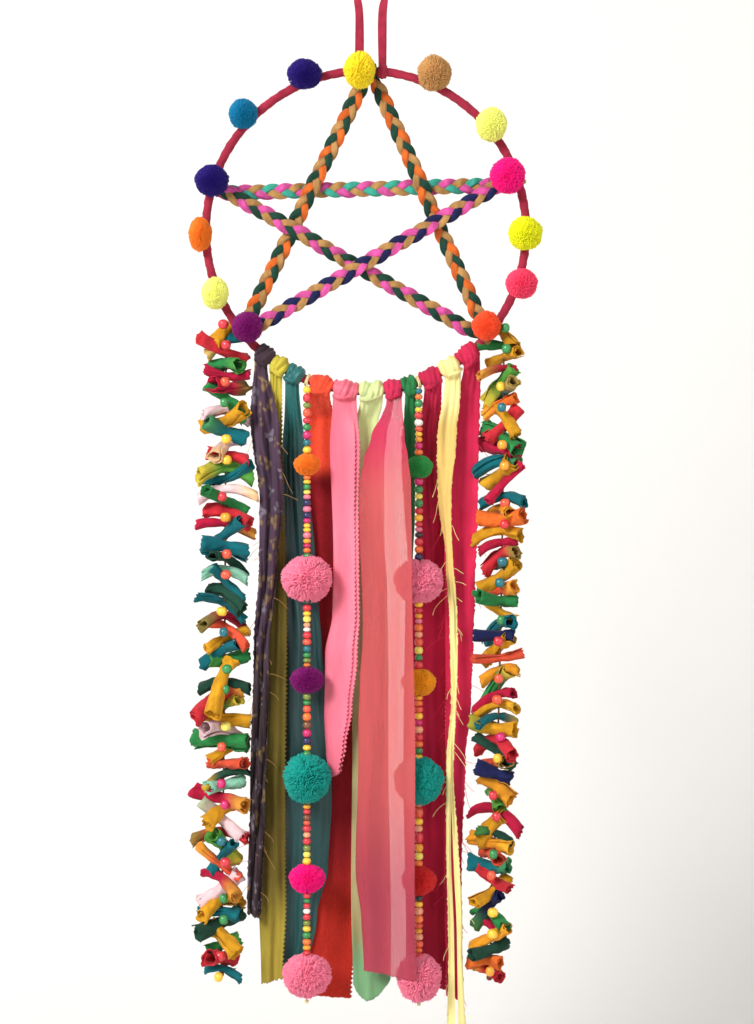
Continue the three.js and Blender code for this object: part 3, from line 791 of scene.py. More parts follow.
def make_backdrop():
    """A pale sheet that comes down behind the object and runs forwards as a floor. Its back isn't seen."""
    turn = np.linspace(0, math.pi / 2, BACKDROP_BEND_STEPS)
    curve_y = BACKDROP_FAR - BACKDROP_BEND + BACKDROP_BEND * np.sin(turn)
    curve_z = BACKDROP_FLOOR + BACKDROP_BEND - BACKDROP_BEND * np.cos(turn)
    curve = np.stack([curve_y, curve_z], -1)
    profile = np.concatenate([[[BACKDROP_NEAR, BACKDROP_FLOOR]], curve, [[BACKDROP_FAR, BACKDROP_TOP]]])
    rows = [[(side * BACKDROP_HALF_WIDTH, y, z) for side in (-1, 1)] for y, z in profile]
    mesh = bpy.data.meshes.new("backdrop")
    points = np.array(rows).reshape(-1, 3) * MM
    mesh.from_pydata(points.tolist(), [], grid_faces(len(rows), 2).tolist())
    mesh.polygons.foreach_set("use_smooth", np.full(len(mesh.polygons), True))
    material, tree, shader = new_material("pale_backdrop", roughness=0.95)
    shader.inputs["Base Color"].default_value = BACKDROP_COLOUR
    side = node(tree, "ShaderNodeNewGeometry")
    away = node(tree, "ShaderNodeVectorMath", {0: side.outputs["Position"]}, operation="LENGTH")
    far_off = ranged(tree, away.outputs["Value"], *BACKDROP_FADE, 0.0, 1.0)
    faded = math_node(tree, "MULTIPLY", far_off, seen_rays(tree))
    pale = node(tree, "ShaderNodeEmission", {"Color": ROOM_COLOUR, "Strength": ROOM_SEEN})
    links = {0: faded, 1: shader.outputs[0], 2: pale.outputs[0]}
    distant = node(tree, "ShaderNodeMixShader", links)
    clear = node(tree, "ShaderNodeBsdfTransparent")
    links = {0: side.outputs["Backfacing"], 1: distant.outputs[0], 2: clear.outputs[0]}
    mix = node(tree, "ShaderNodeMixShader", links)
    tree.links.new(mix.outputs[0], tree.nodes["Material Output"].inputs["Surface"])
    mesh.materials.append(material)
    backdrop = put_in_scene("backdrop", mesh)


# Hanging loop, the first of the cords
def wound_tie(shape, place, along, width, radius, turns=3):
    """A few turns of cloth or thread wound round the hoop."""
    around = unit(np.cross(along, FRONT))
    turn = np.linspace(0, TURN, TIE_STEPS, endpoint=False)
    across = np.linspace(-0.5, 0.5, TIE_SIDES)
    crown = np.sqrt(np.clip(1 - (2 * across) ** 4, 0, 1))
    wound = TIE_TURN_RISE * np.cos(TURN * turns * across)
    high = WRAP_RADIUS - TIE_SUNK + (radius - WRAP_RADIUS + TIE_SUNK) * crown * (0.9 + wound)
    spoke = fan(turn, FRONT, around)
    points = place + across[None, :, None] * width * along + high[None, :, None] * spoke[:, None]
    ring = np.concatenate([points, points[:1]])
    round_it = np.append(turn, TURN)[:, None] * radius
    flat = flat_place(across[None, :] * width, round_it)
    return shape.add(ring, grid_faces(TIE_STEPS + 1, TIE_SIDES), flat)


def make_hanger():
    bend_z = HANGER_THICK / 2 - HANGER_BEND
    low = HOOP_CENTRE[2] + HOOP_RADIUS + WRAP_RADIUS
    half = [
        (HANGER_BEND * math.sqrt(0.5), 0, bend_z + HANGER_BEND * math.sqrt(0.5)),
        (HANGER_BEND, 0, bend_z),
        (HANGER_SHOULDER_X, 0, -HANGER_SHOULDER_DROP),
        (HANGER_STRAND_X, 0, -HANGER_STRAIGHT_DROP),
        (HANGER_STRAND_X, 0, low),
    ]
    left = [(-x, y, z) for x, y, z in reversed(half)]
    path = rounded([*left, (0, 0, HANGER_THICK / 2), *half], HANGER_STEP)
    turned = smooth(-path[:, 2], *HANGER_TWIST)[:, None]
    guide = unit(FRONT * (1 - turned) + RIGHT * turned)
    across, out = frames_along(path, guide)
    drop = np.cumsum(np.linalg.norm(np.gradient(path, axis=0), axis=1))
    breadth = HANGER_WIDTH * (1 - HANGER_NARROWING + HANGER_NARROWING * np.sin(drop / 9.0))
    size = np.stack([breadth, np.full(len(path), HANGER_THICK)], -1)
    section = oval(1, 1, HANGER_SIDES, HANGER_SQUARENESS)[None] * size[:, None]
    cup = np.cos(TURN * 1.5 * section[:, :, 0] / HANGER_WIDTH + drop[:, None] / 14)
    section[:, :, 1] += HANGER_CUP * cup
    strap = add_tube(Shape(), path, across, out, section)
    piece = make_piece("hanging_strip", strap, crimson_cotton, "hanger", ["hanger_loop"])
    knots = Shape()
    for x in (-HANGER_STRAND_X, HANGER_STRAND_X):
        angle = math.degrees(math.acos((x - HOOP_CENTRE[0]) / HOOP_RADIUS))
        wound_tie(knots, on_hoop(angle), along_hoop(angle), HANGER_TIE_WIDTH, HANGER_TIE_RADIUS, turns=2)
    tied = make_piece("hanging_strip_ties", knots, crimson_cotton, "hanger")


make_camera()
make_light()
make_backdrop()
make_hanger()


# Hoop
def make_hoop():
    turns = round(TURN * HOOP_RADIUS / WRAP_PITCH)
    steps = turns * WRAP_STEPS_A_TURN
    angle = np.linspace(0, TURN, steps + 1)
    side = np.arange(WRAP_SIDES) / WRAP_SIDES * TURN
    lap = (angle[:, None] * turns / TURN + side[None] / TURN) % 1.0
    rng = np.random.default_rng(WRAP_SEED)
    uneven = 0.08 * np.sin(angle * 37)[:, None] + 0.06 * np.sin(angle * 83 + 1)[:, None]
    rough = WRAP_ROUGH * rng.standard_normal(lap.shape)
    radius = WRAP_RADIUS - WRAP_SUNK + WRAP_RIDGE * (lap - 0.5) + uneven + rough
    outward = np.stack([np.cos(angle), 0 * angle, np.sin(angle)], -1)
    spoke = fan(side[None], outward[:, None], FRONT)
    radius[-1] = radius[0]
    points = HOOP_CENTRE + HOOP_RADIUS * outward[:, None] + radius[..., None] * spoke
    flat = flat_place(side[None] * WRAP_RADIUS, angle[:, None] * HOOP_RADIUS)
    shape = Shape().add(points, grid_faces(steps + 1, WRAP_SIDES, wrap=True), flat)
    make_piece("hoop_wrapping", shape, crimson_cotton, "hoop", ["hoop_wrap"])
    core = frame["nodes"]["hoop_core"]
    core.data.materials.clear()
    core.data.materials.append(steel_material())


make_hoop()


# Star. A plait has its two angles on the hoop, its three colours, and its rise at shares of its length
PLAITS = [
    ("plait_top_to_lower_left", 89.46, 218.4, ("orange", "dark_green", "tan"),
     [(0, 1), (0.42, 1), (0.6, -1), (1, -1)]),
    ("plait_top_to_lower_right", 87.33, 319.9, ("orange", "tan", "dark_green"),
     [(0, -1), (0.42, 1), (0.59, -1), (1, 1)]),
    ("plait_left_to_right", 165.8, 17.5, ("pink", "turquoise", "tan"), [(0, -1), (1, -1)]),
    ("plait_left_to_lower_right", 163.5, 317.6, ("dark_green", "pink", "tan"),
     [(0, 1), (0.3, 1), (0.5, -1), (1, -1)]),
    ("plait_right_to_lower_left", 19.9, 220.6, ("navy", "pink", "tan"), [(0, 1), (1, 1)]),
]
strand_cloth = {
    name: cloth_material("strand_" + name, linear(name), threads=1500, contrast=0.34, uneven=(0.7, 1.14),
                         mottle=240, stretch=0.4, depth=0.5, creases=300, relief=0.9)
    for name in ("tan", "orange", "dark_green", "pink", "turquoise", "navy")
}


def strand_section(rng):
    """A folded strip of cloth squeezed into an oval, with a few creases along it."""
    section = oval(STRAND_WIDTH, STRAND_THICK, STRAND_SIDES, STRAND_SQUARENESS)
    turn = (np.arange(STRAND_SIDES) + 0.5) / STRAND_SIDES * TURN
    creases = 1
    for waves, height in STRAND_CREASES:
        creases = creases + height * np.cos(waves * turn + rng.uniform(0, TURN))
    return section * creases[:, None]


def make_plait(order, name, first, last, colours, rise):
    start, end = (on_hoop(angle, HOOP_RADIUS - WRAP_RADIUS) for angle in (first, last))
    length = np.linalg.norm(end - start)
    along = (end - start) / length
    across = np.cross(along, FRONT)
    run = np.linspace(0, length, int(length / PLAIT_STEP))
    opened = smooth(np.minimum(run, length - run), 0, PLAIT_GATHER)
    spread = PLAIT_DRAWN_IN + (1 - PLAIT_DRAWN_IN) * opened
    lift = CROSSING_RISE * eased(rise, run / length)
    rng = np.random.default_rng(PLAIT_SEED + order)
    for strand, colour in enumerate(colours):
        turn = TURN * (run / PLAIT_PITCH + strand / 3)
        swing = PLAIT_SWING * spread * np.sin(turn)
        pass_over = PLAIT_RISE * spread * np.sin(2 * turn)
        lifted = (pass_over + lift)[:, None] * FRONT
        path = start + run[:, None] * along + swing[:, None] * across + lifted
        side, out = frames_along(path, -FRONT)
        full = STRAND_TIED_FULL + (1 - STRAND_TIED_FULL) * opened + 0.05 * np.sin(run / 3.1 + strand)
        section = strand_section(rng)[None, :, ::-1] * full[:, None, None]
        shape = add_tube(Shape(), path, side, out, section)
        make_piece(f"{name}_{colour}", shape, strand_cloth[colour], "hoop", [name])
    ties = Shape()
    for angle in (first, last):
        wound_tie(ties, on_hoop(angle), along_hoop(angle), PLAIT_TIE_WIDTH, PLAIT_TIE_RADIUS)
    make_piece(f"{name}_ties", ties, strand_cloth[colours[-1]], "hoop")


for order, plait in enumerate(PLAITS):
    make_plait(order, *plait)


# Pompoms
def spread_out(count, rng, jitter):
    """Directions spread evenly over a ball, with a little unevenness."""
    order = np.arange(count) + 0.5
    height = 1 - 2 * order / count
    level = np.sqrt(1 - height ** 2)
    ahead = np.stack([level * np.cos(GOLDEN_TURN * order), level * np.sin(GOLDEN_TURN * order), height], -1)
    return unit(ahead + jitter * rng.standard_normal(ahead.shape))


def yarn_ball(rng, tufts, clumps, drawn):
    """A ball of unit size made of cut yarn ends over a plain core. The ends are drawn together in clumps."""
    ahead = spread_out(tufts, rng, TUFT_JITTER)
    middles = spread_out(clumps, rng, CLUMP_JITTER)
    nearest = np.argmax(ahead @ middles.T, axis=1)
    away = middles[nearest] - ahead
    lean = unit(ahead + drawn * away + TUFT_LEAN * rng.standard_normal(ahead.shape))
    turned = rng.uniform(0, TURN, 3)
    x, y, z = ahead.T
    lumps = 0.035 * np.sin(4 * x + 3 * y + turned[0]) + 0.03 * np.sin(6 * z - 4 * y)
    lumps = lumps + 0.025 * np.sin(9 * x + turned[1]) * np.sin(8 * z + turned[2])
    dip = 0.5 * drawn * (np.linalg.norm(away, axis=1) - 0.5 * math.sqrt(4 / clumps))
    reach = BALL_REACH + 1.3 * lumps - dip + TUFT_UNEVEN * rng.standard_normal(tufts)
    side = unit(np.cross(lean, np.roll(lean, 1, axis=1) + 0.3))
    other = np.cross(lean, side)
    width = math.sqrt(4 * math.pi / tufts) * TUFT_WIDTH * rng.uniform(0.75, 1.25, tufts)
    spin = rng.uniform(0, TURN, tufts)
    rings = []
    for share, broad in ((TUFT_ROOT, 0.6), (1.0, 0.7)):
        centre = ahead * TUFT_ROOT + lean * (share - TUFT_ROOT) * (reach[:, None] / BALL_REACH)
        for corner in range(3):
            turn = spin + corner * TURN / 3
            round_it = fan(turn, side, other)
            rings.append(centre + (width * broad)[:, None] * round_it)
    points = np.stack(rings, 1)
    one = np.array([[0, 1, 4, 3], [1, 2, 5, 4], [2, 0, 3, 5]])
    first = 6 * np.arange(tufts)
    faces = [*(first[:, None, None] + one).reshape(-1, 4).tolist(), *(first[:, None] + [3, 4, 5]).tolist()]
    # Painted light rises from root to tip, a little less at some tips
    tuft_lights = np.repeat(TUFT_LIGHT_ENDS, 3)[None] * rng.uniform(0.8, 1.0, tufts)[:, None]
    shape = Shape()
    shape.add(points, faces, painted_tuft_light=tuft_lights.reshape(-1))
    slope = np.linspace(0, math.pi, CORE_ROWS)[:, None]
    turn = np.arange(CORE_SIDES)[None, :] / CORE_SIDES * TURN
    core = [np.sin(slope) * np.cos(turn), np.sin(slope) * np.sin(turn), np.cos(slope)]
    core = CORE_SHARE * np.stack(np.broadcast_arrays(*core), -1)
    return shape.add(core, grid_faces(CORE_ROWS, CORE_SIDES, wrap=True), painted_tuft_light=CORE_PAINTED_LIGHT)


YARN_MATERIALS = {}


def yarn_of(node_name):
    slot = NODE_SLOT[node_name]
    if slot not in YARN_MATERIALS:
        colour = linear(slot) if slot in HEX else SLOT_COLOUR[slot]
        YARN_MATERIALS[slot] = yarn_material(slot, colour)
    return YARN_MATERIALS[slot], slot


def make_pompom(order, node_name, body, squeeze):
    low, high = box_of(node_name)
    half = (high[2] - low[2]) / 2
    centre = (low + high) / 2
    centre[1] = low[1] + half
    rng = np.random.default_rng(BALL_SEED + order)
    uneven = 1 + BALL_UNEVEN * rng.uniform(-1, 1, 3)
    if half > LARGE_BALL:
        ball = yarn_ball(rng, LARGE_TUFTS, LARGE_CLUMPS, LARGE_DRAWN)
    else:
        ball = yarn_ball(rng, SMALL_TUFTS, SMALL_CLUMPS, SMALL_DRAWN)
    points = np.concatenate(ball.points) * half * np.array(squeeze) * uneven + centre
    past = np.maximum(points[:, 1] - high[1], 0)
    points[:, 1] -= BALL_BACK_PRESSED * past
    ball.points = [points]
    material, slot = yarn_of(node_name)
    return make_piece(node_name + "_yarn", ball, material, body, [node_name])


# How far a pompom is from round: shares of its radius across, in depth and upright
HOOP_SQUEEZE = {
    "pompom_yellow_top": (0.88, 1, 1.1), "pompom_orange": (0.78, 1, 1.14),
    "pompom_pale_yellow": (0.88, 1, 1.08), "pompom_neon_yellow": (0.88, 1, 1.04),
    "pompom_magenta": (1.05, 1, 1.05), "pompom_bright_yellow": (0.92, 1, 0.96),
    "pompom_tan": (1.06, 1, 1.03), "pompom_indigo_upper": (1, 1, 0.94), "pompom_blue": (0.95, 1, 0.95),
}
STRING_SQUEEZE = [
    (1.05, 1, 0.86), (1.04, 1, 1), (1.1, 1, 0.86), (1.03, 1, 1.02), (1.05, 1, 0.9), (0.99, 1, 0.98),
]
STRING_BALL_ORDER = 60
hoop_pompoms = [n for n in RECORD["behaviour"]["bodies"]["hoop"] if n.startswith("pompom")]
for order, node_name in enumerate(hoop_pompoms):
    make_pompom(order, node_name, "hoop", HOOP_SQUEEZE.get(node_name, (1, 1, 1)))


# Beaded strings. Beads are named from the top, in runs between the pompoms
LEFT_BEADS = [
    "yellow red olive coral red green magenta teal yellow",
    "orange yellow green lemon blush navy blush navy magenta yellow yellow blush amber magenta orange green",
    "dark_green red yellow lemon peach white red coral teal green olive orange",
    "olive green coral orange brown magenta navy yellow green",
    "olive amber red brown coral red peach red olive lemon yellow",
    "red green red white red olive yellow green orange amber red",
]
RIGHT_BEADS = [
    "teal orange green yellow red white coral yellow amber magenta orange",
    "magenta green lemon green red yellow red blush black red orange navy",
    "yellow red amber blush orange peach coral lemon green red",
    "amber orange coral yellow magenta peach red orange green yellow",
    "orange coral yellow peach red amber lemon orange",
    "black yellow peach orange coral amber peach coral orange red",
]


def add_bead(shape, centre, ahead, radius, half, tint):
    """A round bead with a hole, turned about its thread."""
    side = unit(np.cross(ahead, FRONT + 0.2 * RIGHT))
    other = np.cross(ahead, side)
    slope = np.linspace(-BEAD_POLE, BEAD_POLE, BEAD_ROWS)
    reach = np.concatenate([[BEAD_HOLE], np.cos(slope) ** BEAD_FULL, [BEAD_HOLE]]) * radius
    level = np.sin(slope) / math.sin(BEAD_POLE)
    height = np.concatenate([[-BEAD_HOLE_SUNK], level, [BEAD_HOLE_SUNK]]) * half
    turn = np.arange(BEAD_TURNS) / BEAD_TURNS * TURN
    spoke = fan(turn, side, other)
    points = centre + height[:, None, None] * ahead + reach[:, None, None] * spoke[None]
    shape.add(points, grid_faces(len(reach), BEAD_TURNS, wrap=True), tint=tint)


def make_string(side, runs, seed):
    body = f"string_{side}"
    labels = [n for n in RECORD["behaviour"]["bodies"][body] if n.startswith("pompom")]
    labels.sort(key=lambda n: -box_of(n)[1][2])
    pivot, along = joint_place(f"string_{side}_swing")
    first_order = STRING_BALL_ORDER + seed * 10
    balls = [make_pompom(first_order + k, n, body, STRING_SQUEEZE[k]) for k, n in enumerate(labels)]
    middles = [sum(box_of(n)) / 2 for n in labels]
    ahead = unit(middles[-1] - middles[0])
    start = middles[0] + ahead * (pivot[2] - middles[0][2]) / ahead[2]
    half = [(box_of(n)[1][2] - box_of(n)[0][2]) / 2 for n in labels]
    end = middles[-1] + ahead * (half[-1] + THREAD_END)
    thread = line_piece(f"thread_{side}", [start, *middles, end], THREAD_RADIUS, tie_thread, body)
    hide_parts(f"bead_string_{side}")
    beads = Shape()
    rng = np.random.default_rng(seed)
    top = FIRST_BEAD
    for names, middle, size in zip(runs, middles, half):
        low = np.linalg.norm(middle - start) - size * BALL_SEAT
        names = names.split()
        weights = rng.uniform(0.75, 1.3, len(names))
        lengths = weights / weights.sum() * (low - top)
        for name, long in zip(names, lengths):
            radius = min(BEAD_LARGEST, 1.55 + 0.25 * long + rng.uniform(-0.15, 0.25))
            place = start + ahead * (top + long / 2)
            add_bead(beads, place, ahead, radius, long / 2 * BEAD_LENGTH_SHARE, linear(name))
            top += long
        top = np.linalg.norm(middle - start) + size * BALL_SEAT
    strung = make_piece(f"beads_{side}", beads, painted_bead, body)
    loops = Shape()
    wound_tie(loops, pivot, along, THREAD_TIE_WIDTH, THREAD_TIE_RADIUS, turns=2)
    tied = make_piece(f"thread_{side}_tie", loops, tie_thread, body)
    knot = Shape()
    add_bead(knot, end, ahead, *THREAD_KNOT, linear("cream"))
    knotted = make_piece(f"thread_{side}_end_knot", knot, tie_thread, body)


make_string("left", LEFT_BEADS, 1)
make_string("right", RIGHT_BEADS, 2)


# Garlands. Scraps are named from the top
LEFT_SCRAPS = (
    "mustard teal red green crimson crimson green pale_pink mustard teal pale_pink red leaf teal pale_pink "
    "green red crimson teal teal dark_green mint teal dark_green teal crimson coral mustard teal green "
    "mustard dark_green red leaf mustard pale_pink green mustard coral dark_green mint crimson mustard "
    "pale_pink red leaf teal coral crimson pale_pink mustard teal dark_green mustard green red teal"
).split()
RIGHT_SCRAPS = (
    "mustard green mustard crimson leaf teal orange mustard red green crimson teal mustard crimson teal "
    "amber orange mustard crimson red dark_green mustard coral green mustard teal navy mustard coral "
    "amber green crimson mustard teal mustard red dark_green coral navy amber leaf crimson mustard "
    "dark_green amber coral teal red mustard navy green crimson amber dark_green orange red"
).split()
GARLAND_BEADS = (
    "red yellow teal amber green red lemon coral green magenta yellow teal red amber green coral"
).split()


def add_scrap(shape, rng, middle, arm, inner, outer, thick, colour):
    """A scrap of cloth rolled into a tube, drawn in where it is threaded and open at its ends."""
    turns, rows = SCRAP_TURNS, SCRAP_ROWS
    share = np.linspace(-1, 1, rows)
    reach = np.where(share < 0, inner, outer) * share
    drawn = SCRAP_PINCH + (1 - SCRAP_PINCH) * smooth(np.abs(share), 0.05, 0.5)
    drawn = drawn + SCRAP_FLARE * smooth(np.abs(share), 0.75, 1)
    side = unit(np.cross(arm, UP))
    other = np.cross(side, arm)
    droop = rng.uniform(-0.028, 0.014) * reach ** 2
    ahead = rng.uniform(0.0, 0.024) * reach ** 2
    path = middle + reach[:, None] * arm + droop[:, None] * UP + ahead[:, None] * FRONT
    turn = np.linspace(0, TURN * rng.uniform(1.3, 1.8), turns)
    curl = np.linspace(1, 0.55, turns)
    flatness = rng.uniform(0.62, 1)
    crumple = 0.11 * np.sin(3 * turn[None] + 4 * share[:, None] + rng.uniform(0, TURN))
    crumple = crumple + 0.07 * np.sin(5 * turn[None] - 7 * share[:, None] + rng.uniform(0, TURN))
    spin = rng.uniform(0, TURN) + 0.6 * share[:, None]
    radius = thick / 2 * drawn[:, None] * curl[None] * (1 + crumple)
    x = radius * np.cos(turn[None] + spin)
    y = radius * np.sin(turn[None] + spin) * flatness
    at_end = np.abs(share)[:, None] > 0.99
    ragged = np.where(at_end, rng.uniform(-0.6, 1.1, (rows, turns)), 0) * np.sign(share)[:, None]
    points = path[:, None] + x[..., None] * side + y[..., None] * other + ragged[..., None] * arm
    base = np.array(linear(colour))
    fade = np.array(linear(rng.choice(["yellow", "leaf", colour, colour, colour, colour])))
    blend = 0.6 * smooth(share * rng.choice([-1, 1]), 0.1, 1)[:, None]
    tint = np.repeat(base * (1 - blend) + fade * blend, turns, axis=0) * rng.uniform(0.85, 1.08)
    flat = flat_place(turn[None] * thick / 2, reach[:, None])
    shape.add(points, grid_faces(rows, turns), flat, tint)


def make_garland(side, names, outward, drift, yaws, reaches, seed):
    body = f"scraps_{side}"
    pivot, _ = joint_place(f"garland_{side}_swing")
    start = pivot + unit(pivot - HOOP_CENTRE) * GARLAND_TIE_REACH

    def along(drop):
        return start - UP * drop + RIGHT * drift * (drop / GARLAND_LENGTH) ** 2

    stops = [along(GARLAND_LENGTH * k / GARLAND_STEPS) for k in range(GARLAND_STEPS + 1)]
    cord = line_piece(f"garland_{side}_cord", stops, GARLAND_CORD_RADIUS, garland_cord, body)
    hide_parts(f"garland_{side}")
    rng = np.random.default_rng(seed)
    pitch = (GARLAND_LENGTH - GARLAND_START) / len(names)
    scraps, beads = Shape(), Shape()
    for order, name in enumerate(names):
        drop = GARLAND_START + pitch * (order + 0.5)
        yaw = yaws[order % len(yaws)] + rng.uniform(-0.3, 0.3)
        tilt = np.clip(rng.normal(-0.04, 0.42), -0.9, 0.8)
        arm = unit(np.array([outward * math.cos(yaw), math.sin(yaw), math.tan(tilt)]))
        inner, outer = (rng.uniform(low, high) * rng.choice([1, 1, 0.8]) for low, high in reaches)
        taper = 1 - GARLAND_TAPER * smooth(drop, GARLAND_LENGTH - GARLAND_TAPER_LENGTH, GARLAND_LENGTH)
        if outward < 0:
            fuller = math.exp(-((drop - LONG_SCRAPS_DROP) / LONG_SCRAPS_SPAN) ** 2)
            inner *= 1 + LONG_SCRAPS_GAIN * fuller
        middle = along(drop) + FRONT * rng.uniform(-3, 2)
        thick = rng.uniform(*SCRAP_THICK)
        add_scrap(scraps, rng, middle, arm, inner * taper, outer * taper, thick, name)
        place = order % GARLAND_BEAD_GROUP
        if place < GARLAND_BEADS_IN_GROUP:
            beside = outward * rng.uniform(-2.5, 1.5)
            in_front = rng.uniform(-11, -9)
            offset = np.array([beside, in_front, pitch * (0.35 - 0.8 * place)])
            bead = GARLAND_BEADS[(order // 2 + seed) % len(GARLAND_BEADS)]
            radius = rng.uniform(*GARLAND_BEAD_RADIUS)
            add_bead(beads, along(drop) + offset, -UP, radius, GARLAND_BEAD_HALF, linear(bead))
    rolled = make_piece(f"garland_{side}_scraps", scraps, scrap_cloth, body)
    thicken(rolled, SCRAP_CLOTH_THICK)
    strung = make_piece(f"garland_{side}_beads", beads, painted_bead, body)
    knot = Shape()
    end = along(GARLAND_LENGTH)
    add_bead(knot, end, -UP, *GARLAND_KNOT, linear("tan"))
    knotted = make_piece(f"garland_{side}_end_knot", knot, garland_cord, body)


make_garland("left", LEFT_SCRAPS, outward=-1, drift=-3.0, yaws=(-0.9, 0.2, -0.45, 0.5, -0.1),
             reaches=((13, 17.6), (11, 20)), seed=5)
make_garland("right", RIGHT_SCRAPS, outward=1, drift=-9.0, yaws=(-1.0, -0.3, -0.75, 0.3, -0.5),
             reaches=((14, 20), (9, 17)), seed=8)
